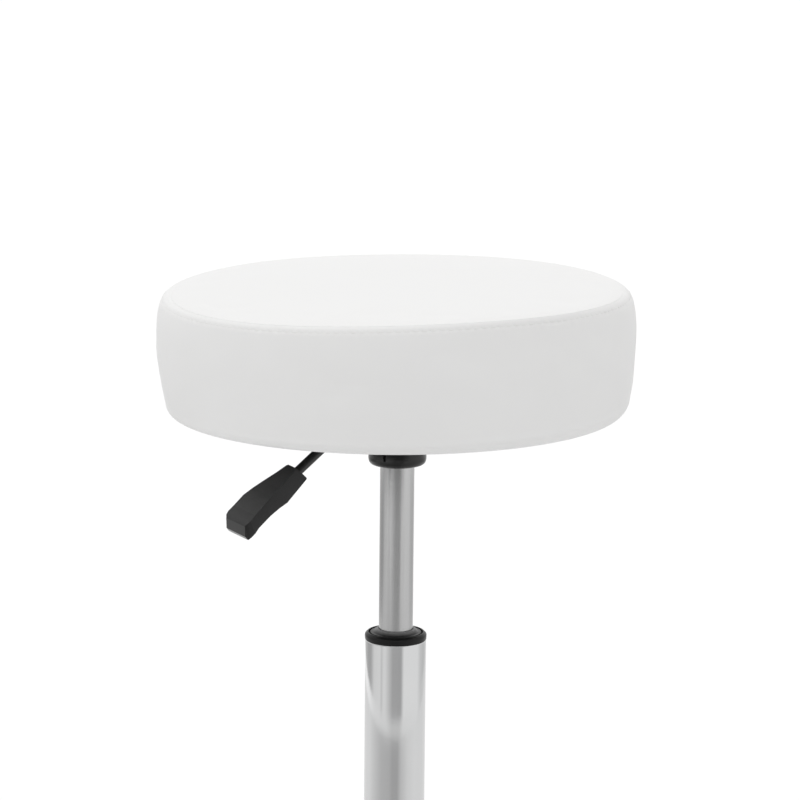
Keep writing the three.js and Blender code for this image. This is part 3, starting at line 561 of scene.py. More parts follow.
# Where it fades in from the rim on the top, in from the rim on the side, and out at the foot.
CROWN_FADE = (0.004, 0.03)
RIM_FADE = (0.008, 0.03)
FOOT_FADE = (0.6, 0.95)

# Folds at the rim: heading, drop, width along the rim, reach down the side, depth, lean.
RIM_FOLDS = (
    (354, 0.0030, 0.0016, 0.0045, 0.0009, 14),
    (358.5, 0.0045, 0.0014, 0.0050, 0.0008, 18),
    (3, 0.0040, 0.0018, 0.0060, 0.0006, 8),
    (341, 0.0065, 0.0060, 0.0016, 0.0005, 0),
    (329, 0.0060, 0.0070, 0.0014, 0.0004, 0),
    (310, 0.0058, 0.0080, 0.0013, 0.0005, 0),
    (236, 0.0034, 0.0030, 0.0030, 0.0004, -20),
    (241, 0.0030, 0.0024, 0.0028, 0.0005, 12),
    (196, 0.0050, 0.0022, 0.0060, 0.0004, -10),
    (96, 0.0040, 0.0020, 0.0060, 0.0006, 10),
    (143, 0.0050, 0.0024, 0.0050, 0.0005, -14),
)


def folds(heading, drop):
    total = np.zeros_like(heading)
    for middle, at, width, reach, depth, lean in RIM_FOLDS:
        turn = (heading - math.radians(middle) + math.pi) % (2 * math.pi) - math.pi
        along = turn * RIM_RADIUS - math.tan(math.radians(lean)) * (drop - at)
        total -= depth * bell(along, width) * bell(drop - at, reach)
    return total


def stitch_holes(heading, drop):
    """Dimples where the thread goes in, some pulled tighter than others."""
    pull = np.random.default_rng(5).uniform(0.45, 1.15, STITCH_COUNT)
    turns = heading / (2 * math.pi) * STITCH_COUNT
    nearest = np.round(turns)
    along = (turns - nearest) * (2 * math.pi * RIM_RADIUS / STITCH_COUNT)
    depth = HOLE_DEPTH * pull[nearest.astype(int) % STITCH_COUNT]
    return -depth * bell(along, HOLE_LENGTH) * bell(drop - STITCH_DROP, HOLE_WIDTH)


def plateau(value, rise, fall):
    return smooth_step(value, *rise) - smooth_step(value, *fall)


def band_relief(heading, drop):
    """How far the side band stands out from its smooth shape, near the rim."""
    welt = WELT * plateau(drop, *BAND_WELT)
    pull = 0.7 + 0.3 * ripple(heading, 0, 3, 12, 11)
    valley = -STITCH_PULL * pull * bell(drop - STITCH_DROP, PULL_WIDTH)
    fade = 1 - smooth_step(drop, 0.002, PUCKER_REACH)
    pucker = PUCKER * fade * ripple(heading, drop, *PUCKER_ORDERS, 3)
    roll = -EDGE_ROLL * bell(drop, EDGE_WIDTH)
    return roll + welt + valley + pucker + stitch_holes(heading, drop) + folds(heading, drop)


def cloth_rings(heading):
    """The cover's smooth outside from its foot to the middle of its top, as radius and height."""
    rings = [foot_point(heading, math.pi / 2), foot_point(heading, math.pi / 4)]
    for share in np.linspace(1, 0, SIDE_RINGS):
        drop = foot_drop(heading) * share
        rings.append((side_radius(heading, drop), seam_line(heading)[1] - drop))
    radius, height = seam_line(heading)
    for share in np.linspace(CROWN_EDGE, CROWN_MIDDLE, CROWN_RINGS):
        rings.append((radius * share, height + (CROWN_TOP - height) * (1 - share ** CROWN_POWER)))
    return [ring_at(heading, *ring) for ring in rings]


def puffed_cloth(piece):
    """Blows the cover up against its held hem for some frames; gives its points before and after."""
    held = piece.vertex_groups.new(name="held")
    low = [v.index for v in piece.data.vertices if v.co.z < SEAT_BOTTOM + CLOTH_EDGE]
    held.add(low, 1.0, "REPLACE")
    cloth = piece.modifiers.new("cover", "CLOTH")
    cloth.settings.vertex_group_mass = "held"
    cloth.settings.use_pressure = True
    cloth.settings.uniform_pressure_force = CLOTH_PRESSURE
    cloth.settings.effector_weights.gravity = 0
    cloth.point_cache.frame_end = CLOTH_FRAMES
    scene = bpy.context.scene
    before = np.array([v.co for v in piece.data.vertices])
    for count in range(1, CLOTH_FRAMES + 1):
        scene.frame_set(count)
    shown = piece.evaluated_get(bpy.context.evaluated_depsgraph_get())
    after = np.array([v.co for v in shown.data.vertices])
    scene.frame_set(1)
    return before, after


def cloth_table():
    """The unevenness of the blown-up cover, by ring and heading, its mean taken out ring by ring."""
    piece = skin("cover_cloth", cloth_rings(headings(CLOTH_HEADINGS)), False)
    even = piece.modifiers.new("even", "REMESH")
    even.mode = "VOXEL"
    even.voxel_size = CLOTH_EDGE
    settled(piece)
    before, after = puffed_cloth(piece)
    move = after - before
    length = np.linalg.norm(move, axis=1, keepdims=True)
    move *= np.minimum(1, CLOTH_LIMIT / np.maximum(length, 1e-9))
    tree = KDTree(len(before))
    for i, point in enumerate(before):
        tree.insert(point, i)
    tree.balance()
    rings = np.array(cloth_rings(headings(CLOTH_HEADINGS)))
    outward = np.cross(np.gradient(rings, axis=1), np.gradient(rings, axis=0))
    outward /= np.linalg.norm(outward, axis=2, keepdims=True)
    table = np.zeros(rings.shape[:2])
    for place in np.ndindex(table.shape):
        near = [index for _, index, _ in tree.find_n(rings[place], 6)]
        table[place] = move[near].mean(axis=0) @ outward[place]
    bpy.data.objects.remove(piece)
    return table - table.mean(axis=1, keepdims=True)


def puff(heading, row):
    """The unevenness at a heading and a ring of the cloth table."""
    turn = heading / (2 * math.pi) * CLOTH_HEADINGS
    whole = np.floor(turn).astype(int)
    share = turn - whole
    left = whole % CLOTH_HEADINGS
    right = (whole + 1) % CLOTH_HEADINGS
    row = np.clip(np.broadcast_to(row, heading.shape), 0, len(PUFF) - 1.001)
    low = np.floor(row).astype(int)
    up = row - low
    total = 0
    for ring, part in ((low, 1 - up), (low + 1, up)):
        total = total + part * (PUFF[ring, left] * (1 - share) + PUFF[ring, right] * share)
    return total * CLOTH_SHARE


def crown_relief(heading, inward):
    """How far the top panel stands up near the rim, by the distance in from it."""
    welt = WELT * CROWN_WELT_SHARE * plateau(inward, *CROWN_WELT)
    fade = 1 - smooth_step(inward, 0.001, PUCKER_REACH)
    pucker = PUCKER * fade * ripple(heading, inward, *PUCKER_ORDERS, 8)
    roll = waves(heading, RIM_ROLL) * (1 - bell(inward, ROLL_WIDTH))
    edge = -EDGE_ROLL * bell(inward, EDGE_WIDTH)
    return welt + pucker + folds(heading, -inward * 0.6) + (roll + edge)


# No unevenness until the cloth has run.
PUFF = np.zeros((FOOT_RINGS + SIDE_RINGS + CROWN_RINGS, CLOTH_HEADINGS))


def crown_point(heading, share):
    radius, height = seam_line(heading)
    inward = radius * (1 - share)
    rise = CROWN_TOP - height - waves(heading, RIM_ROLL)
    lift = height + rise * (1 - share ** CROWN_POWER)
    step = (CROWN_EDGE - share) / (CROWN_EDGE - CROWN_MIDDLE)
    row = FOOT_RINGS + SIDE_RINGS + step * (CROWN_RINGS - 1)
    billow = puff(heading, row) * smooth_step(inward, *CROWN_FADE)
    return radius * share, lift + crown_relief(heading, inward) + billow


def foot_drop(heading):
    """How far below the rim the side starts to turn under."""
    corner = waves(heading, FOOT_CORNER)
    return seam_line(heading)[1] - SEAT_BOTTOM - waves(heading, FOOT_LIFT) - corner


def side_radius(heading, drop):
    radius, _ = seam_line(heading)
    full = waves(heading, FULL_DROP)
    widest = waves(heading, FULL_RADIUS)
    left = 1 - np.clip(drop / full, 0, 1)
    swell = 1 - (1 - SLOW_SWELL) * left ** SWELL_POWER - SLOW_SWELL * left ** 2
    upper = radius + (widest - radius) * swell
    drawn = np.clip((drop - full) / (foot_drop(heading) - full), 0, 1)
    return np.where(drop < full, upper, widest - waves(heading, FOOT_DRAW) * drawn ** 2)


def side_billow(heading, drop):
    """The cloth's unevenness on the side, none at the rim and the foot."""
    share = drop / foot_drop(heading)
    row = FOOT_RINGS + (SIDE_RINGS - 1) * (1 - share)
    fade = smooth_step(drop, *RIM_FADE) * (1 - smooth_step(share, *FOOT_FADE))
    return puff(heading, row) * fade


def side_point(heading, drop, relief=1.0):
    """Place on the band at a drop below the rim, with its relief along the outward normal."""
    step = 0.0005
    slope = (side_radius(heading, drop + step) - side_radius(heading, drop - step)) / (2 * step)
    length = np.sqrt(1 + slope ** 2)
    billow = side_billow(heading, drop)
    out = relief * band_relief(heading, drop) + billow
    height = seam_line(heading)[1] - drop
    return side_radius(heading, drop) + out / length, height + out * slope / length


def foot_centre(heading):
    corner = waves(heading, FOOT_CORNER)
    reach = waves(heading, FULL_RADIUS) - waves(heading, FOOT_DRAW) - corner
    return reach, SEAT_BOTTOM + waves(heading, FOOT_LIFT) + corner


def foot_point(heading, angle, inset=0.0):
    reach, height = foot_centre(heading)
    radius = waves(heading, FOOT_CORNER) - inset
    return reach + radius * math.cos(angle), height - radius * math.sin(angle)


HEM_PLEAT = 0.0005


def hem_point(heading, share):
    """The gathered leather under the board, from the foot in to its stapled edge."""
    start = foot_centre(heading)[0]
    radius = start + (HEM_RADIUS - start) * share
    edge = 1 - smooth_step(start - radius, 0, BOARD_EDGE)
    pleat = HEM_PLEAT * share * (0.6 + 0.4 * ripple(heading, 0, 70, 120, 21))
    return radius, SEAT_BOTTOM + waves(heading, FOOT_LIFT) * edge + pleat


# The turned-in edges of the panels, out and up from the seam line.
BAND_TUCK = ((-0.0010, -0.0018), (-0.0006, -0.0011), (-0.0003, -0.0006))
CROWN_TUCK = ((-0.0010, -0.0014), (-0.0006, -0.0010), (-0.0003, -0.0007), (-0.0001, -0.00045))

# Points for each stitch, first and last drop, and number of the band's fine rings.
BAND_ZONES = ((8, 0.0004, 0.0116, 26), (4, 0.0125, 0.0260, 10))
FINE_DROP = 0.0260
HEM_SHARES = (0.03, 0.06, 0.1, 0.15, 0.2, 0.3, 0.4, 0.5, 0.6, 0.7, 0.8, 0.9, 1)
FOAM_CROWN = (0.975, 0.95, 0.9, 0.8, 0.7, 0.6, 0.5, 0.4, 0.3, 0.2, 0.1)
HALF_STITCHES = STITCH_COUNT // 2
# Points for every two stitches and place of the lining's rings, then the same with a first and
# last place and a number for the outside, from the rim in.
CROWN_LINING = ((1, 0.3), (2, 0.6), (4, 0.9), (4, 0.985))
CROWN_ZONES = ((4, 0.925, 0.80, 12), (2, 0.785, 0.36, 22), (1, 0.33, 0.03, 11))


def laid(count, place, values):
    """Rings of a number of points, at a run of values of a place function."""
    heading = headings(count)
    return [ring_at(heading, *place(heading, value)) for value in values]


def seam_tuck(heading, tuck):
    """Place of a turned-in edge, by its move out and up from the seam line."""
    radius, height = seam_line(heading)
    return radius + tuck[0], height + tuck[1]


def lower_point(heading, share):
    """Place on the band from under its fine rings down to the foot."""
    return side_point(heading, FINE_DROP + (foot_drop(heading) - FINE_DROP) * share)


def side_band():
    count = STITCH_COUNT * 8
    rings = laid(count, seam_tuck, BAND_TUCK)
    for points, first, last, number in BAND_ZONES:
        rings += laid(STITCH_COUNT * points, side_point, np.linspace(first, last, number))
    count = STITCH_COUNT * 2
    rings += laid(count, lower_point, np.linspace(0.03, 1, 26))
    rings += laid(count, foot_point, np.linspace(0, math.pi / 2, 11)[1:])
    rings += laid(count, hem_point, HEM_SHARES)
    rings += band_lining()
    return skin("seat_side_band", rings, True)


def band_lining():
    """The hidden inner face of the band, from its hem up to the rim."""
    rings = []
    heading = headings(STITCH_COUNT * 2)
    for share in (1, 0.5, 0.2, 0.1, 0.03):
        radius, height = hem_point(heading, share)
        rings.append(ring_at(heading, radius, height + COVER))
    for angle in np.linspace(math.pi / 2, 0, 6):
        rings.append(ring_at(heading, *foot_point(heading, angle, COVER)))
    for share in np.linspace(0.9, 0.1, 9):
        drop = foot_drop(heading) * share
        radius = side_radius(heading, drop) + side_billow(heading, drop)
        rings.append(ring_at(heading, radius - COVER, seam_line(heading)[1] - drop))
    return rings + laid(STITCH_COUNT * 4, seam_tuck, [(-2 * COVER, -3 * COVER)])


def top_panel():
    rings = [ring_at(headings(HALF_STITCHES), 0.006, CROWN_TOP - COVER)]
    for points, share in CROWN_LINING:
        heading = headings(HALF_STITCHES * points)
        reach, lift = crown_point(heading, share)
        rings.append(ring_at(heading, reach, lift - COVER))
    count = STITCH_COUNT * 4
    rings += laid(count, seam_tuck, CROWN_TUCK)
    heading = headings(count)
    radius, _ = seam_line(heading)
    for inward in np.linspace(0.0003, 0.0123, 25):
        rings.append(ring_at(heading, *crown_point(heading, 1 - inward / radius)))
    for points, first, last, number in CROWN_ZONES:
        rings += laid(HALF_STITCHES * points, crown_point, np.linspace(first, last, number))
    return skin("seat_top_panel", rings, False)


def foam_block():
    """The foam inside the cover, with a recess for the board."""
    inset = COVER + FIT
    heading = headings(STITCH_COUNT)
    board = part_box("seat_board")[1]
    rim = board.x + FIT
    top = board.z + FIT
    recess = ((0.02, top), (rim * 0.5, top), (rim, top), (rim, SEAT_BOTTOM + 0.006))
    rings = [ring_at(heading, *place) for place in recess]
    for angle in np.linspace(math.pi / 3, 0, 5):
        rings.append(ring_at(heading, *foot_point(heading, angle, inset)))
    for share in np.linspace(0.95, 0.06, 24):
        drop = foot_drop(heading) * share
        rings.append(ring_at(heading, side_radius(heading, drop) - inset, seam_line(heading)[1] - drop))
    for share in FOAM_CROWN:
        reach, lift = crown_point(heading, share)
        rings.append(ring_at(heading, reach, lift - inset - 0.0004))
    return skin("seat_foam", rings, False)


def cushion():
    top = dress(top_panel(), "white_leather", "seat", "seat_cover_top")
    band = dress(side_band(), "white_leather", "seat", "seat_cover_band")
    block = dress(foam_block(), "foam", "seat", "foam_pad")


PUFF = cloth_table()
cushion()


# Stitches, as one sewn row

STITCH_INPUTS = {
    "Stitch length": "NodeSocketFloat",
    "Thread radius": "NodeSocketFloat",
    "Rise": "NodeSocketFloat",
    "Thread": "NodeSocketMaterial",
}


def geometry_tree(name, inputs):
    """A modifier's nodes, which take geometry and the named inputs and give geometry."""
    tree = bpy.data.node_groups.new(name, "GeometryNodeTree")
    tree.is_modifier = True
    nodes = Nodes(tree)
    for side in ("INPUT", "OUTPUT"):
        tree.interface.new_socket("Geometry", in_out=side, socket_type="NodeSocketGeometry")
    for label, kind in inputs.items():
        tree.interface.new_socket(label, in_out="INPUT", socket_type=kind)
    return nodes


def grown(name, guide, nodes, values):
    """The plain mesh that a geometry tree makes from a guide line with the named sizes."""
    holder = put(name, guide)
    modifier = holder.modifiers.new(name, "NODES")
    modifier.node_group = nodes.tree
    for item in nodes.tree.interface.items_tree:
        if item.in_out == "INPUT" and item.name in values:
            modifier[item.identifier] = values[item.name]
    bpy.context.view_layer.update()
    shown = holder.evaluated_get(bpy.context.evaluated_depsgraph_get())
    mesh = bpy.data.meshes.new_from_object(shown)
    bpy.data.objects.remove(holder)
    return put(name, smooth(mesh))


def thread_loop(nodes, length, radius, rise):
    """One bent piece of thread with closed ends, along X."""
    half = length * 0.5
    start = nodes.node("ShaderNodeCombineXYZ", values={"X": half * -1.0, "Z": rise * -1.0})
    middle = nodes.node("ShaderNodeCombineXYZ", values={"Z": rise})
    end = nodes.node("ShaderNodeCombineXYZ", values={"X": half, "Z": rise * -1.0})
    bend = {"Resolution": 6, "Start": start, "Middle": middle, "End": end}
    loop = nodes.node("GeometryNodeCurveQuadraticBezier", values=bend)
    circle = {"Resolution": 6, "Radius": radius}
    section = nodes.node("GeometryNodeCurvePrimitiveCircle", values=circle)
    parts = {"Curve": loop, "Profile Curve": section, "Fill Caps": True}
    return nodes.node("GeometryNodeCurveToMesh", values=parts)


def point_vector(nodes, name):
    kind = {"data_type": "FLOAT_VECTOR"}
    return nodes.node("GeometryNodeInputNamedAttribute", kind, {"Name": name})


def aligned(nodes, settings, values):
    return nodes.node("FunctionNodeAlignRotationToVector", settings, values)


def stitch_tree():
    """One thread loop on each point of a line, laid along it and facing away from the axis."""
    nodes = geometry_tree("stitch_row", STITCH_INPUTS)
    entry = nodes.tree.nodes.new("NodeGroupInput")
    line, length, radius, rise, thread = [Wire(nodes.tree, s) for s in entry.outputs[:5]]
    stitch = thread_loop(nodes, length, radius, rise)
    lying = aligned(nodes, {"axis": "X"}, {"Vector": point_vector(nodes, "along")})
    facing = {"Rotation": lying, "Vector": point_vector(nodes, "outward")}
    facing = aligned(nodes, {"axis": "Z", "pivot_axis": "X"}, facing)
    copies = {"Points": line, "Instance": stitch, "Rotation": facing}
    copies = nodes.node("GeometryNodeInstanceOnPoints", values=copies)
    real = nodes.node("GeometryNodeRealizeInstances", values={"Geometry": copies})
    finished = nodes.node("GeometryNodeSetMaterial", values={"Geometry": real, "Material": thread})
    nodes.node("NodeGroupOutput", values={"Geometry": finished})
    return nodes


def line_mesh(name, points, along, outward):
    """Points that hold the direction of their line and of the surface under them."""
    mesh = bpy.data.meshes.new(name)
    mesh.from_pydata([tuple(p) for p in points], [], [])
    for label, vectors in (("along", along), ("outward", outward)):
        attribute = mesh.attributes.new(label, "FLOAT_VECTOR", "POINT")
        attribute.data.foreach_set("vector", np.asarray(vectors, np.float32).ravel())
    return mesh


def sewn(name, guide, length, wire, finish):
    """A row of stitches or staples on a guide line."""
    sizes = {
        "Stitch length": length,
        "Thread radius": wire,
        "Rise": wire,
        "Thread": finish.material,
    }
    dress(grown(name, guide, stitch_tree(), sizes), finish, "seat")


def stitch_row():
    heading = headings(STITCH_COUNT) + math.pi / STITCH_COUNT
    points = ring_at(heading, *side_point(heading, STITCH_DROP))
    step = 0.01
    ahead = ring_at(heading + step, *side_point(heading + step, STITCH_DROP))
    lower = ring_at(heading, *side_point(heading, STITCH_DROP + 0.001, relief=0))
    upper = ring_at(heading, *side_point(heading, STITCH_DROP - 0.001, relief=0))
    along = ahead - points
    guide = line_mesh("stitch_line", points, along, np.cross(along, upper - lower))
    pitch = 2 * math.pi * RIM_RADIUS / STITCH_COUNT
    sewn("seat_stitches", guide, pitch * STITCH_FILL, THREAD_RADIUS, THREAD)


def hem_staples():
    heading = headings(STAPLE_COUNT)
    start = foot_centre(heading)[0]
    points = ring_at(heading, *hem_point(heading, (start - STAPLE_RADIUS) / (start - HEM_RADIUS)))
    along = ring_at(heading + 0.35, 1, 0) - ring_at(heading - 0.35, 1, 0)
    along += STAPLE_SCATTER * np.random.default_rng(17).uniform(-1, 1, along.shape) * (1, 1, 0)
    guide = line_mesh("staple_line", points, along, np.tile((0, 0, -1), (STAPLE_COUNT, 1)))
    sewn("hem_staples", guide, STAPLE_LENGTH, STAPLE_WIRE, FINISHES["steel"])


stitch_row()
hem_staples()


# Gas lift

TUBE_RADIUS = 0.014
TUBE_BORE = 0.0125
TUBE_FLOOR = 0.0015
TUBE_ROD_HOLE = 0.0056
TUBE_VALVE_HOLE = 0.0047
CUP_RADIUS = 0.02375
CUP_ROUNDING = 0.0062
CUP_NECK = 0.018
CUP_BOTTOM = ends("socket_cup")[0]
COLUMN_RADIUS = 0.025
COLUMN_BORE = 0.0235
COLUMN_TAPER = 0.045
COLUMN_FLOOR = 0.004
COLUMN_ROD_HOLE = 0.0053
# The bore of what sits on the column.
COLUMN_FIT = COLUMN_RADIUS + FIT
# The housing's underside is this much higher than its solid's, as the photograph shows.
HOUSING_TRIM = 0.001


def pressure_tube():
    low, high = ends("pressure_tube")
    lathe("gas_tube", "pressure_tube", "satin_steel", "seat", 160, [
        (TUBE_ROD_HOLE, low, 0.0002),
        (TUBE_RADIUS, low, 0.0012),
        (TUBE_RADIUS, CUP_BOTTOM, 0),
        (TUBE_RADIUS - 0.0007, high, 0.0008),
        (TUBE_VALVE_HOLE, high, 0.0002),
        (TUBE_VALVE_HOLE, high - TUBE_FLOOR, 0),
        (0.0118, high - TUBE_FLOOR, 0),
        (TUBE_BORE, CUP_BOTTOM, 0),
        (TUBE_BORE, low + TUBE_FLOOR, 0),
        (TUBE_ROD_HOLE, low + TUBE_FLOOR, 0),
    ])


def socket_cup():
    low, high = ends("socket_cup")
    shoulder = ends("mechanism_housing")[0] + HOUSING_TRIM - FIT
    outline = eased([
        (0.0142, low, 0.0004),
        (CUP_RADIUS, low, CUP_ROUNDING),
        (CUP_RADIUS, shoulder, 0.0012),
        (CUP_NECK, shoulder, 0.0003),
        (CUP_NECK, high, 0.0008),
        (0.0136, high, 0.0004),
    ], steps=8)
    # Two close rings keep the wall between its rounded edges straight in a reflection.
    under = sum(height < low + CUP_ROUNDING + 0.0001 for _, height in outline)
    outline[under:under] = [(CUP_RADIUS, low + 0.0065), (CUP_RADIUS, shoulder - 0.0015)]
    dress(turned("lift_socket", outline, 160), "gloss_black", "seat", "socket_cup")


def guide_bush():
    low, high = ends("guide_bush")
    base = ends("outer_column")[1] + FIT
    face = base + 0.006
    lathe("column_guide_bush", "guide_bush", BUSH_BLACK, "base", 192, [
        (0.0143, low, 0.0004),
        (0.0233, low, 0.0008),
        (0.0233, base, 0.0002),
        (0.0252, base, 0.0006),
        (0.0254, base + 0.0042, 0.0024),
        (0.0232, face + 0.0002, 0.0010),
        (0.0224, face, 0.0003),
        (0.0223, face - 0.0026, 0.0003),
        (0.0211, face - 0.0026, 0.0003),
        (0.0209, face - 0.0001, 0.0003),
        (0.0186, face + 0.0001, 0.0014),
        (0.0162, high - 0.0003, 0.0008),
        (0.0143, high, 0.0003),
    ], steps=6)


def column_tube():
    low, high = ends("outer_column")
    lathe("column_tube", "outer_column", "chrome", "base", 192, [
        (COLUMN_ROD_HOLE, low, 0),
        (COLUMN_BORE, low, 0.0015),
        (COLUMN_RADIUS, low + COLUMN_TAPER, 0.004),
        (COLUMN_RADIUS, high, 0.0008),
        (COLUMN_BORE, high, 0.0004),
        (COLUMN_BORE, low + COLUMN_TAPER, 0.004),
        (0.0220, low + COLUMN_FLOOR, 0.001),
        (COLUMN_ROD_HOLE, low + COLUMN_FLOOR, 0),
    ])


pressure_tube()
socket_cup()
guide_bush()
column_tube()


# Height lever

LEVER_HEIGHT = SEAT_BOTTOM - 0.0103
PIVOT_DISTANCE = 0.032
HUB_BORE = 0.0028
HUB_RADIUS = 0.006
HUB_END = 0.008
ROD_START = -0.004
ROD_STEPS = 12
ROD_IN_GRIP = 0.026
BEND_DISTANCE = 0.0635
BEND_RADIUS = 0.018
GRIP_DISTANCE = 0.104
GRIP_HEIGHT = SEAT_BOTTOM - 0.0347
# The rod beside the release pin, and outside the housing.
ROD_RADIUS = 0.0035
SHANK_RADIUS = 0.0038
SHANK_START = 0.05
# A bar's end is rounded over this share of its radius, down to this share.
END_LENGTH = 0.14
END_WIDTH = 0.86


def swept(name, path, radius, sides):
    """A round bar along a run of points, with rounded ends and a radius or one for each point."""
    path = np.asarray(path)
    radii = np.broadcast_to(radius, len(path))
    ahead = np.gradient(path, axis=0)
    ahead /= np.linalg.norm(ahead, axis=1, keepdims=True)
    side = np.cross(ahead[0], (0.0, 0.0, 1.0))
    turn = headings(sides)[:, None]
    rings = []
    last = len(path) - 1
    for i, (point, direction) in enumerate(zip(path, ahead)):
        side = side - direction * side.dot(direction)
        side /= np.linalg.norm(side)
        up = np.cross(side, direction)
        circle = np.cos(turn) * side + np.sin(turn) * up
        rounding = [(0.0, END_WIDTH), (END_LENGTH, 1.0)] if i == 0 else [(0.0, 1.0)]
        if i == last:
            rounding = [(-END_LENGTH, 1.0), (0.0, END_WIDTH)]
        for along, wide in rounding:
            rings.append(point + (direction * along + circle * wide) * radii[i])
    return skin(name, rings, False)


def lever_route():
    """The rod's middle line: level out of the housing, then down to the grip."""
    slope = math.atan2(LEVER_HEIGHT - GRIP_HEIGHT, GRIP_DISTANCE - BEND_DISTANCE)
    reach = BEND_RADIUS * math.tan(slope / 2)
    start = BEND_DISTANCE - reach
    points = [(x, 0, LEVER_HEIGHT) for x in np.linspace(ROD_START, start, ROD_STEPS)]
    for angle in np.linspace(0, slope, ROD_STEPS)[1:]:
        drop = BEND_RADIUS * (1 - math.cos(angle))
        points.append((start + BEND_RADIUS * math.sin(angle), 0, LEVER_HEIGHT - drop))
    x, _, z = points[-1]
    length = math.hypot(GRIP_DISTANCE - x, z - GRIP_HEIGHT) + ROD_IN_GRIP
    for run in np.linspace(0, length, ROD_STEPS)[1:]:
        points.append((x + run * math.cos(slope), 0, z - run * math.sin(slope)))
    return points


def lever_rod():
    route = np.array(lever_route())
    shank = smooth_step(route[:, 0], SHANK_START - 0.01, SHANK_START)
    radii = ROD_RADIUS + (SHANK_RADIUS - ROD_RADIUS) * shank
    piece = turn_to_lever(swept("lever_bar", route, radii, 32))
    dress(piece, "black_steel", "lever", "lever_rod")
    hub = eased([
        (HUB_BORE, -HUB_END, 0.0003),
        (HUB_RADIUS, -HUB_END, 0.0006),
        (HUB_RADIUS, HUB_END, 0.0006),
        (HUB_BORE, HUB_END, 0.0003),
    ])
    hub = turned("lever_hub", hub, 64)
    place = Matrix.Translation((PIVOT_DISTANCE, 0, LEVER_HEIGHT))
    hub.data.transform(place @ Matrix.Rotation(math.pi / 2, 4, "X"))
    dress(turn_to_lever(hub), "black_steel", "lever")


GRIP_LENGTH = 0.0725
GRIP_WIDTH = 0.024
GRIP_THICKNESS = 0.018
GRIP_PITCH = math.radians(28)
GRIP_ROLL = math.radians(-12)
GRIP_ROUNDING = 0.0009
# Along the top, along the underside, width, top and underside of each station.
GRIP_STATION_SHARES = (
    (0.08, -0.014, 0.42, 0.42, -0.44),
    (0.1, 0.01, 0.46, 0.444, -0.46),
    (0.236, 0.174, 0.56, 0.444, -0.54),
    (0.43, 0.375, 0.77, 0.444, -0.57),
    (0.57, 0.508, 0.90, 0.444, -0.43),
    (0.70, 0.667, 1.0, 0.42, -0.36),
    (0.86, 0.861, 1.02, 0.30, -0.45),
    (0.95, 0.93, 1.05, 0.235, -0.54),
    (0.995, 0.985, 0.98, 0.19, -0.62),
    (1.01, 1.03, 0.90, 0.15, -0.66),
    (1.02, 1.055, 0.88, 0.10, -0.39),
)
# Painted light: the grey of the top's facets from the rod out, of the end, and of the highlight under
# it.
GRIP_TOP_PAINTED_LIGHT = ((0.0, 0.15), (0.3, 0.15), (0.6, 0.12), (0.9, 0.085), (1.1, 0.085))
GRIP_END_PAINTED_LIGHT = 0.14
GRIP_EDGE_PAINTED_HIGHLIGHT = 0.97


def grip_loft():
    """The grip's facets, before its edges are rounded."""
    points = []
    faces = []
    for top_along, low_along, width, top, low in GRIP_STATION_SHARES:
        half = GRIP_WIDTH * width / 2
        high = GRIP_THICKNESS * top
        deep = GRIP_THICKNESS * low
        for across, up, along in (
            (half, high, top_along),
            (half, deep, low_along),
            (-half, deep, low_along),
            (-half, high, top_along),
        ):
            points.append((GRIP_LENGTH * along, across, up))
    count = len(GRIP_STATION_SHARES)
    for i in range(count - 1):
        faces += bridge(4 * i, 4, 4 * i + 4, 4)
    faces.append((3, 2, 1, 0))
    faces.append(tuple(range(4 * count - 4, 4 * count)))
    return points, faces


def grip_painted_light(face):
    """Painted light on a facet: lighter top and end, painted highlight on the edge under the end."""
    if face.normal.z > 0.6:
        return float(np.interp(face.center.x / GRIP_LENGTH, *zip(*GRIP_TOP_PAINTED_LIGHT)))
    if face.center.x < GRIP_LENGTH or face.normal.x < 0.5:
        return 0.0
    return GRIP_EDGE_PAINTED_HIGHLIGHT if face.center.z < -GRIP_THICKNESS * 0.45 else GRIP_END_PAINTED_LIGHT


def lever_grip():
    piece = new_piece("grip_moulding", *grip_loft())
    # The facets' greys are painted light, with a painted highlight on the edge under the end.
    shade = piece.data.attributes.new("shade", "FLOAT", "FACE")
    shade.data.foreach_set("value", [grip_painted_light(face) for face in piece.data.polygons])
    rounded(piece, GRIP_ROUNDING, steps=4, degrees=7)
    turn = Matrix.Rotation(GRIP_PITCH, 4, "Y") @ Matrix.Rotation(GRIP_ROLL, 4, "X")
    piece.data.transform(Matrix.Translation((GRIP_DISTANCE, 0, GRIP_HEIGHT)) @ turn)
    dress(turn_to_lever(piece), "black_plastic", "lever", "lever_grip")


lever_rod()
lever_grip()


# Mechanism under the seat


def lift_housing():
    piece = copied("lift_housing", "mechanism_housing", 0.0005, "black_steel", "seat")
    underside = ends("mechanism_housing")[0]
    for vertex in piece.data.vertices:
        if vertex.co.z < underside + HOUSING_TRIM:
            vertex.co.z += HOUSING_TRIM


copied("seat_plate", "mount_plate", 0.0006, "black_steel", "seat")
lift_housing()
copied("lever_bracket", "pivot_bracket", 0.0004, "black_steel", "seat")
for i in range(1, 5):
    copied(f"plate_bolt_{i}", f"seat_bolt_{i}", 0.0005, "steel", "seat")


# Dust cover

DUST_HOLE = 0.042
DUST_THICKNESS = 0.0005


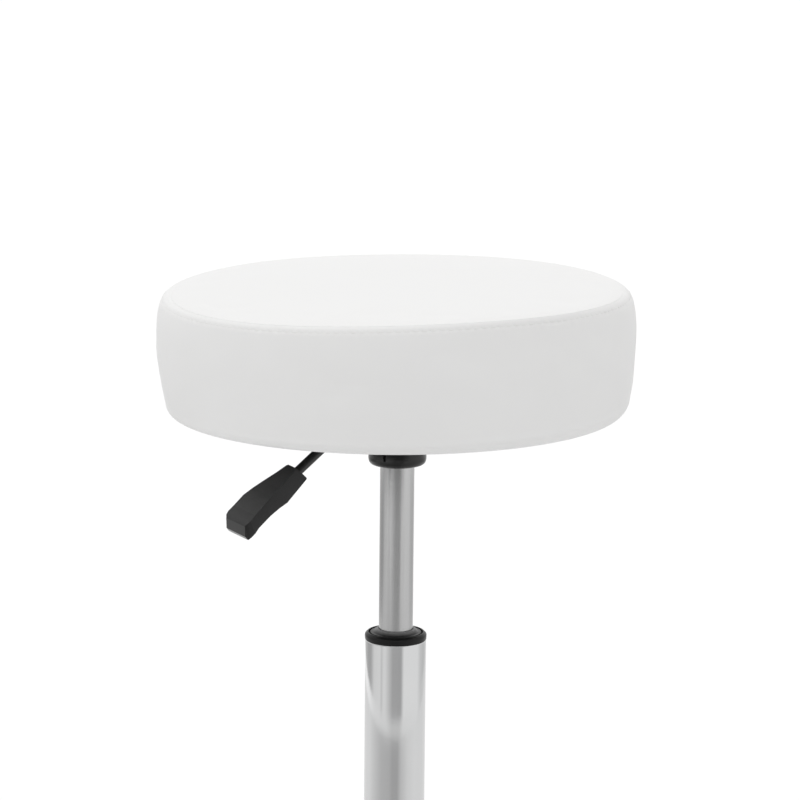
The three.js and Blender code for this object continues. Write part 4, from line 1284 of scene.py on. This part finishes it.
def dust_sheet():
    """The non-woven sheet under the board, pulled flat between its staples."""
    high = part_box("dust_cover")[1]
    heading = headings(256)
    outer = high.x - 0.0003
    sag = 0.0002 * ripple(heading, 0, 20, 60, 31)
    rings = []
    for radius in np.linspace(outer, DUST_HOLE, 24):
        share = (outer - radius) / (outer - DUST_HOLE)
        height = high.z - DUST_THICKNESS + sag * math.sin(math.pi * share)
        rings.append(ring_at(heading, radius, height))
    for radius in (DUST_HOLE, outer):
        rings.append(ring_at(heading, radius, high.z))
    piece = dress(skin("dust_sheet", rings, True), "backing", "seat", "dust_cover")


dust_sheet()


# Footrest

FOOTREST_HEIGHT = 0.215
FOOTREST_TUBE = 0.011
FOOTREST_REACH = 0.195
FOOTREST_WIDTH = 0.250
# The tube's ends stop this far from the axis, inside the collar.
FOOTREST_END = 0.028
FOOTREST_STEPS = 14
COLLAR_RADIUS = 0.033
# Half of the loop's middle line, across and forwards, from the collar to the front.
FOOTREST_LOOP_SHARES = (
    (0.12, 0.13),
    (0.39, 0.25),
    (0.77, 0.39),
    (0.99, 0.61),
    (0.81, 0.84),
    (0.42, 0.965),
    (0, 1),
)


def smooth_route(points):
    """A smooth curve through the points, whose knots lie as far apart as the square roots of
    their distances."""
    points = [np.asarray(p, float) for p in points]
    points = [2 * points[0] - points[1], *points, 2 * points[-1] - points[-2]]
    route = []
    for four in zip(points, points[1:], points[2:], points[3:]):
        lengths = [np.linalg.norm(q - p) ** 0.5 for p, q in zip(four, four[1:])]
        knots = np.cumsum([0, *lengths])
        for t in np.linspace(knots[1], knots[2], FOOTREST_STEPS, endpoint=False):
            line = between(four, knots, t, 1)
            bend = between(line, knots, t, 2)
            route.append(bend[0] + (bend[1] - bend[0]) * (t - knots[1]) / (knots[2] - knots[1]))
    route.append(points[-2])
    return route


def between(points, knots, t, span):
    """Points between neighbours, where t lies between the knots that are a span apart."""
    shares = [(t - a) / (b - a) for a, b in zip(knots, knots[span:])]
    return [p + (q - p) * share for p, q, share in zip(points, points[1:], shares)]


def footrest_loop():
    across = FOOTREST_WIDTH / 2 - FOOTREST_TUBE
    reach = FOOTREST_REACH - FOOTREST_TUBE
    right = [(across * x, -reach * y, FOOTREST_HEIGHT) for x, y in FOOTREST_LOOP_SHARES]
    left = [(-x, y, z) for x, y, z in right[:-1]]
    route = smooth_route(right + left[::-1])
    route = [point for point in route if np.hypot(*point[:2]) > FOOTREST_END]
    piece = swept("footrest_bar", route, FOOTREST_TUBE, 48)
    dress(piece, "chrome", "base", "footrest_loop")


def footrest_collar():
    low, high = ends("footrest_collar")
    lathe("footrest_clamp", "footrest_collar", "chrome", "base", 160, [
        (COLUMN_FIT, low, 0.0005),
        (COLLAR_RADIUS, low, 0.0022),
        (COLLAR_RADIUS, high, 0.0022),
        (COLUMN_FIT, high, 0.0005),
    ], steps=8)
    for i in (1, 2):
        copied(f"clamp_screw_{i}", f"footrest_screw_{i}", 0.0004, "black_steel", "base")


footrest_loop()
footrest_collar()


# Base

SHELL_RIM = 0.205
SHELL_NECK = 0.0273
SHELL_WALL = 0.002
SHELL_FOOT = 0.0032
SHELL_ROUNDING = 0.003
# The height of the shell's edge, its even rise to the neck and what the neck adds.
SHELL_EDGE = 0.012
SHELL_RISE = 0.020
SHELL_SWEEP = 0.060
SHELL_SWEEP_POWER = 4
NECK_RADIUS = 0.032
RING_INNER = 0.190
RING_FLOOR = 0.0038
RING_LIP = 0.007


def shell_height(radius):
    share = (SHELL_RIM - radius) / (SHELL_RIM - SHELL_NECK)
    return SHELL_EDGE + SHELL_RISE * share + SHELL_SWEEP * share ** SHELL_SWEEP_POWER


def shell_inside(radius):
    """The point of the shell's inner face that lies under its outer face."""
    slope = (shell_height(radius + 1e-5) - shell_height(radius - 1e-5)) / 2e-5
    length = math.hypot(1, slope)
    return radius + SHELL_WALL * slope / length, shell_height(radius) - SHELL_WALL / length


def base_shell():
    reach = SHELL_RIM - SHELL_ROUNDING
    radii = SHELL_NECK + (reach - SHELL_NECK) * np.linspace(0, 1, 48) ** 1.5
    rim = shell_height(radii[-1])
    outline = [(radius, shell_height(radius)) for radius in radii]
    for angle in np.linspace(0, math.pi / 2, 9)[1:]:
        drop = SHELL_ROUNDING * (1 - math.cos(angle))
        outline.append((reach + SHELL_ROUNDING * math.sin(angle), rim - drop))
    inner = SHELL_RIM - SHELL_WALL
    outline += [(SHELL_RIM, SHELL_FOOT), (inner, SHELL_FOOT), (inner, rim - 0.004)]
    outline += [shell_inside(radius) for radius in radii[::-1]]
    dress(turned("base_trumpet", outline, 256), "chrome", "base", "base_shell")


def neck_ring():
    low, high = ends("base_neck_collar")
    lathe("neck_ring", "base_neck_collar", "black_plastic", "base", 160, [
        (COLUMN_FIT, low, 0.0003),
        (NECK_RADIUS, low, 0.0006),
        (NECK_RADIUS, high, 0.0040),
        (COLUMN_FIT, high, 0.0005),
    ], steps=8)


def floor_ring():
    high = ends("base_floor_ring")[1]
    under = SHELL_FOOT - FIT
    edge = SHELL_RIM - SHELL_WALL - FIT
    lathe("floor_ring", "base_floor_ring", "rubber", "base", 256, [
        (RING_INNER, 0, 0.0006),
        (SHELL_RIM, 0, 0.0008),
        (SHELL_RIM, under, 0.0004),
        (edge, under, 0),
        (edge, high, 0.0006),
        (edge - RING_LIP, high, 0.0006),
        (edge - RING_LIP, RING_FLOOR, 0),
        (RING_INNER, RING_FLOOR, 0.0005),
    ])


base_shell()
neck_ring()
floor_ring()
copied("base_weight", "base_ballast", 0.0008, "cast_iron", "base")
copied("base_boss", "base_hub", 0.0006, "steel", "base")
for i in range(1, 5):
    copied(f"boss_bolt_{i}", f"base_bolt_{i}", 0.0005, "steel", "base")


# Nodes that keep their CAD shape

KEPT = {
    "plywood": ["seat_board"],
    "nylon": ["rod_guide", "bearing_cage"],
    "rubber": ["rod_seal", "piston_seal", "rod_bumper"],
    "black_steel": ["retaining_clip"],
    "steel": [
        "inner_cylinder", "valve_body", "release_pin", "lever_pivot_pin", "piston_rod", "piston",
        "piston_nut", "lower_race", "upper_race", "clip_washer",
        *(f"seat_nut_{i}" for i in range(1, 5)),
        *(f"bearing_ball_{i}" for i in range(1, 9)),
    ],
}
for slot, names in KEPT.items():
    for name in names:
        node = frame["nodes"][name]
        node.data.materials.clear()
        node.data.materials.append(FINISHES[slot].material)


# Studio


class Stage(Nodes):
    """The nodes of a material or world of the studio."""

    def __init__(self, owner):
        owner.use_nodes = True
        super().__init__(owner.node_tree)

    def seen(self):
        """1 for what the camera, a reflection or a refraction sees, 0 for the light on things."""
        rays = self.node("ShaderNodeLightPath")
        outputs = rays.socket.node.outputs
        straight, mirrored, refracted = (
            Wire(self.tree, outputs[f"Is {kind} Ray"]) for kind in ("Camera", "Glossy", "Transmission")
        )
        return straight.or_more(mirrored).or_more(refracted)


FLOOR_SIZE = 60
FLOOR_GREY = 0.79
FLOOR_GLOW = 0.24
SKY_LIGHT = 0.70
SKY_LEAN = -0.06
SUN_LIGHT = 0.93
SUN_WIDTH = math.radians(80)
SUN_TILT = (math.radians(4), math.radians(-6), 0)
WALL_COLUMNS = 360
WALL_RADIUS = 1.2
SKIRT_RADIUS = 0.3
# What the reflection wall shows at headings from the front, in degrees to the right: on its
# skirt, at the height that the bare tube reflects, and above it.
WALL_FOOT = (
    (-180, 1.1), (-130, 1.2), (-110, 1.15), (-84, 1.0), (-30, 0.93), (-12, 0.82), (14, 0.82),
    (28, 0.95), (90, 1.0), (112, 0.8), (135, 0.85), (180, 0.9),
)
WALL_LOW = (
    (-180, 0.85), (-150, 0.7), (-120, 0.5), (-104, 0.54), (-86, 0.88), (-60, 0.93), (-53, 0.76),
    (-45, 0.93), (-38, 0.93), (-10, 0.52), (16, 0.5), (21, 0.52), (32, 1.0), (90, 1.0),
    (106, 0.8), (128, 0.7), (150, 0.8), (180, 0.85),
)
WALL_TOP = (
    (-180, 0.85), (-150, 0.7), (-120, 0.5), (-104, 0.56), (-86, 1.25), (-60, 2.0), (-53, 1.4),
    (-45, 2.1), (-38, 2.0), (-10, 1.2), (16, 1.1), (21, 1.1), (32, 1.5), (60, 1.15),
    (90, 1.0), (106, 0.8), (128, 0.7), (150, 0.8), (180, 0.85),
)
WALL_HIGH = (
    (-180, 0.9), (-110, 0.9), (-100, 0.6), (-85, 0.4), (-74, 0.25), (-40, 0.2), (0, 0.1),
    (20, 0.15), (34, 0.35), (47, 0.8), (53, 1.0), (64, 1.1), (180, 0.9),
)
WALL_NEAR = (
    (-180, 0.9), (-110, 0.95), (-80, 0.78), (-50, 0.62), (-20, 0.58), (-8, 0.5), (10, 0.5),
    (24, 0.7), (50, 0.88), (80, 0.95), (180, 0.9),
)
# Radius, height and shades of the wall's rings, from its skirt to its top.
WALL_RINGS = (
    (SKIRT_RADIUS, 0.001, WALL_NEAR),
    (0.98, 0.1451, WALL_NEAR),
    (0.99, 0.1473, WALL_FOOT),
    (1.040, 0.158, WALL_FOOT),
    (1.046, 0.160, WALL_LOW),
    (WALL_RADIUS, 0.193, WALL_LOW),
    (WALL_RADIUS, 0.25, WALL_LOW),
    (WALL_RADIUS, 0.326, WALL_TOP),
    (WALL_RADIUS, 0.330, WALL_HIGH),
    (WALL_RADIUS, 0.62, WALL_HIGH),
)


def floor():
    bpy.ops.mesh.primitive_plane_add(size=FLOOR_SIZE)
    plane = bpy.context.object
    plane.name = "floor"
    material = bpy.data.materials.new("floor")
    stage = Stage(material)
    paper = stage.node("ShaderNodeBsdfDiffuse", values={"Color": opaque(FLOOR_GREY)})
    glow = stage.node("ShaderNodeEmission", values={"Strength": stage.seen() * FLOOR_GLOW})
    both = stage.node("ShaderNodeAddShader", values={0: paper, 1: glow})
    stage.node("ShaderNodeOutputMaterial", values={"Surface": both})
    plane.data.materials.append(material)


def wall_mesh():
    """The wall's rings, with the shade of each point."""
    turn = np.linspace(-180, 180, WALL_COLUMNS + 1)[:-1]
    angle = np.radians(turn) - math.pi / 2
    points = []
    faces = []
    levels = []
    for row, (radius, height, shades) in enumerate(WALL_RINGS):
        points += ring_at(angle, radius, height).tolist()
        levels.append(np.interp(turn, *zip(*shades)))
        if row:
            start = WALL_COLUMNS * row
            faces += bridge(start - WALL_COLUMNS, WALL_COLUMNS, start, WALL_COLUMNS)
    mesh = bpy.data.meshes.new("reflection_wall")
    mesh.from_pydata(points, [], faces)
    shade = mesh.attributes.new("shade", "FLOAT", "POINT")
    shade.data.foreach_set("value", np.concatenate(levels).astype(np.float32))
    return mesh


def reflection_wall():
    """A wall round the stool that only reflections see, shaded by heading and height."""
    wall = put("reflection_wall", wall_mesh())
    for rays in ("camera", "diffuse", "shadow", "transmission"):
        setattr(wall, f"visible_{rays}", False)
    material = bpy.data.materials.new("reflection_wall")
    stage = Stage(material)
    strength = stage.node("ShaderNodeAttribute", {"attribute_name": "shade"}, output="Fac")
    glow = stage.node("ShaderNodeEmission", values={"Strength": strength})
    stage.node("ShaderNodeOutputMaterial", values={"Surface": glow})
    wall.data.materials.append(material)


def overhead_light():
    data = bpy.data.lights.new("overhead", "SUN")
    data.energy = SUN_LIGHT
    data.angle = SUN_WIDTH
    light = put("overhead", data)
    light.location = (0, 0, 3)
    light.rotation_euler = SUN_TILT


def world():
    sky = bpy.data.worlds.new("studio")
    bpy.context.scene.world = sky
    stage = Stage(sky)
    direction = stage.node("ShaderNodeTexCoord", output="Generated")
    across = stage.node("ShaderNodeSeparateXYZ", values={"Vector": direction}, output="X")
    seen = stage.seen()
    strength = seen + (1 - seen) * (SKY_LIGHT + across * SKY_LEAN)
    values = {"Color": opaque(1), "Strength": strength}
    back = stage.node("ShaderNodeBackground", values=values)
    stage.node("ShaderNodeOutputWorld", values={"Surface": back})


# The camera's place, its tilt from straight down and its small roll, as fitted to the photograph.
CAMERA_PLACE = (0, -2.7826, 1.1655)
CAMERA_TILT = math.radians(79.01)
CAMERA_ROLL = 0.0096
CAMERA_LENS = 157.518
CAMERA_SHIFT = 0.00255


def camera():
    data = bpy.data.cameras.new("camera")
    data.lens = CAMERA_LENS
    data.sensor_width = 36
    data.shift_x = CAMERA_SHIFT
    eye = put("camera", data)
    turn = Matrix.Rotation(CAMERA_TILT, 4, "X") @ Matrix.Rotation(CAMERA_ROLL, 4, "Z")
    eye.matrix_world = Matrix.Translation(CAMERA_PLACE) @ turn
    bpy.context.scene.camera = eye


floor()
reflection_wall()
overhead_light()
world()
camera()
bpy.context.scene.view_settings.view_transform = "Standard"
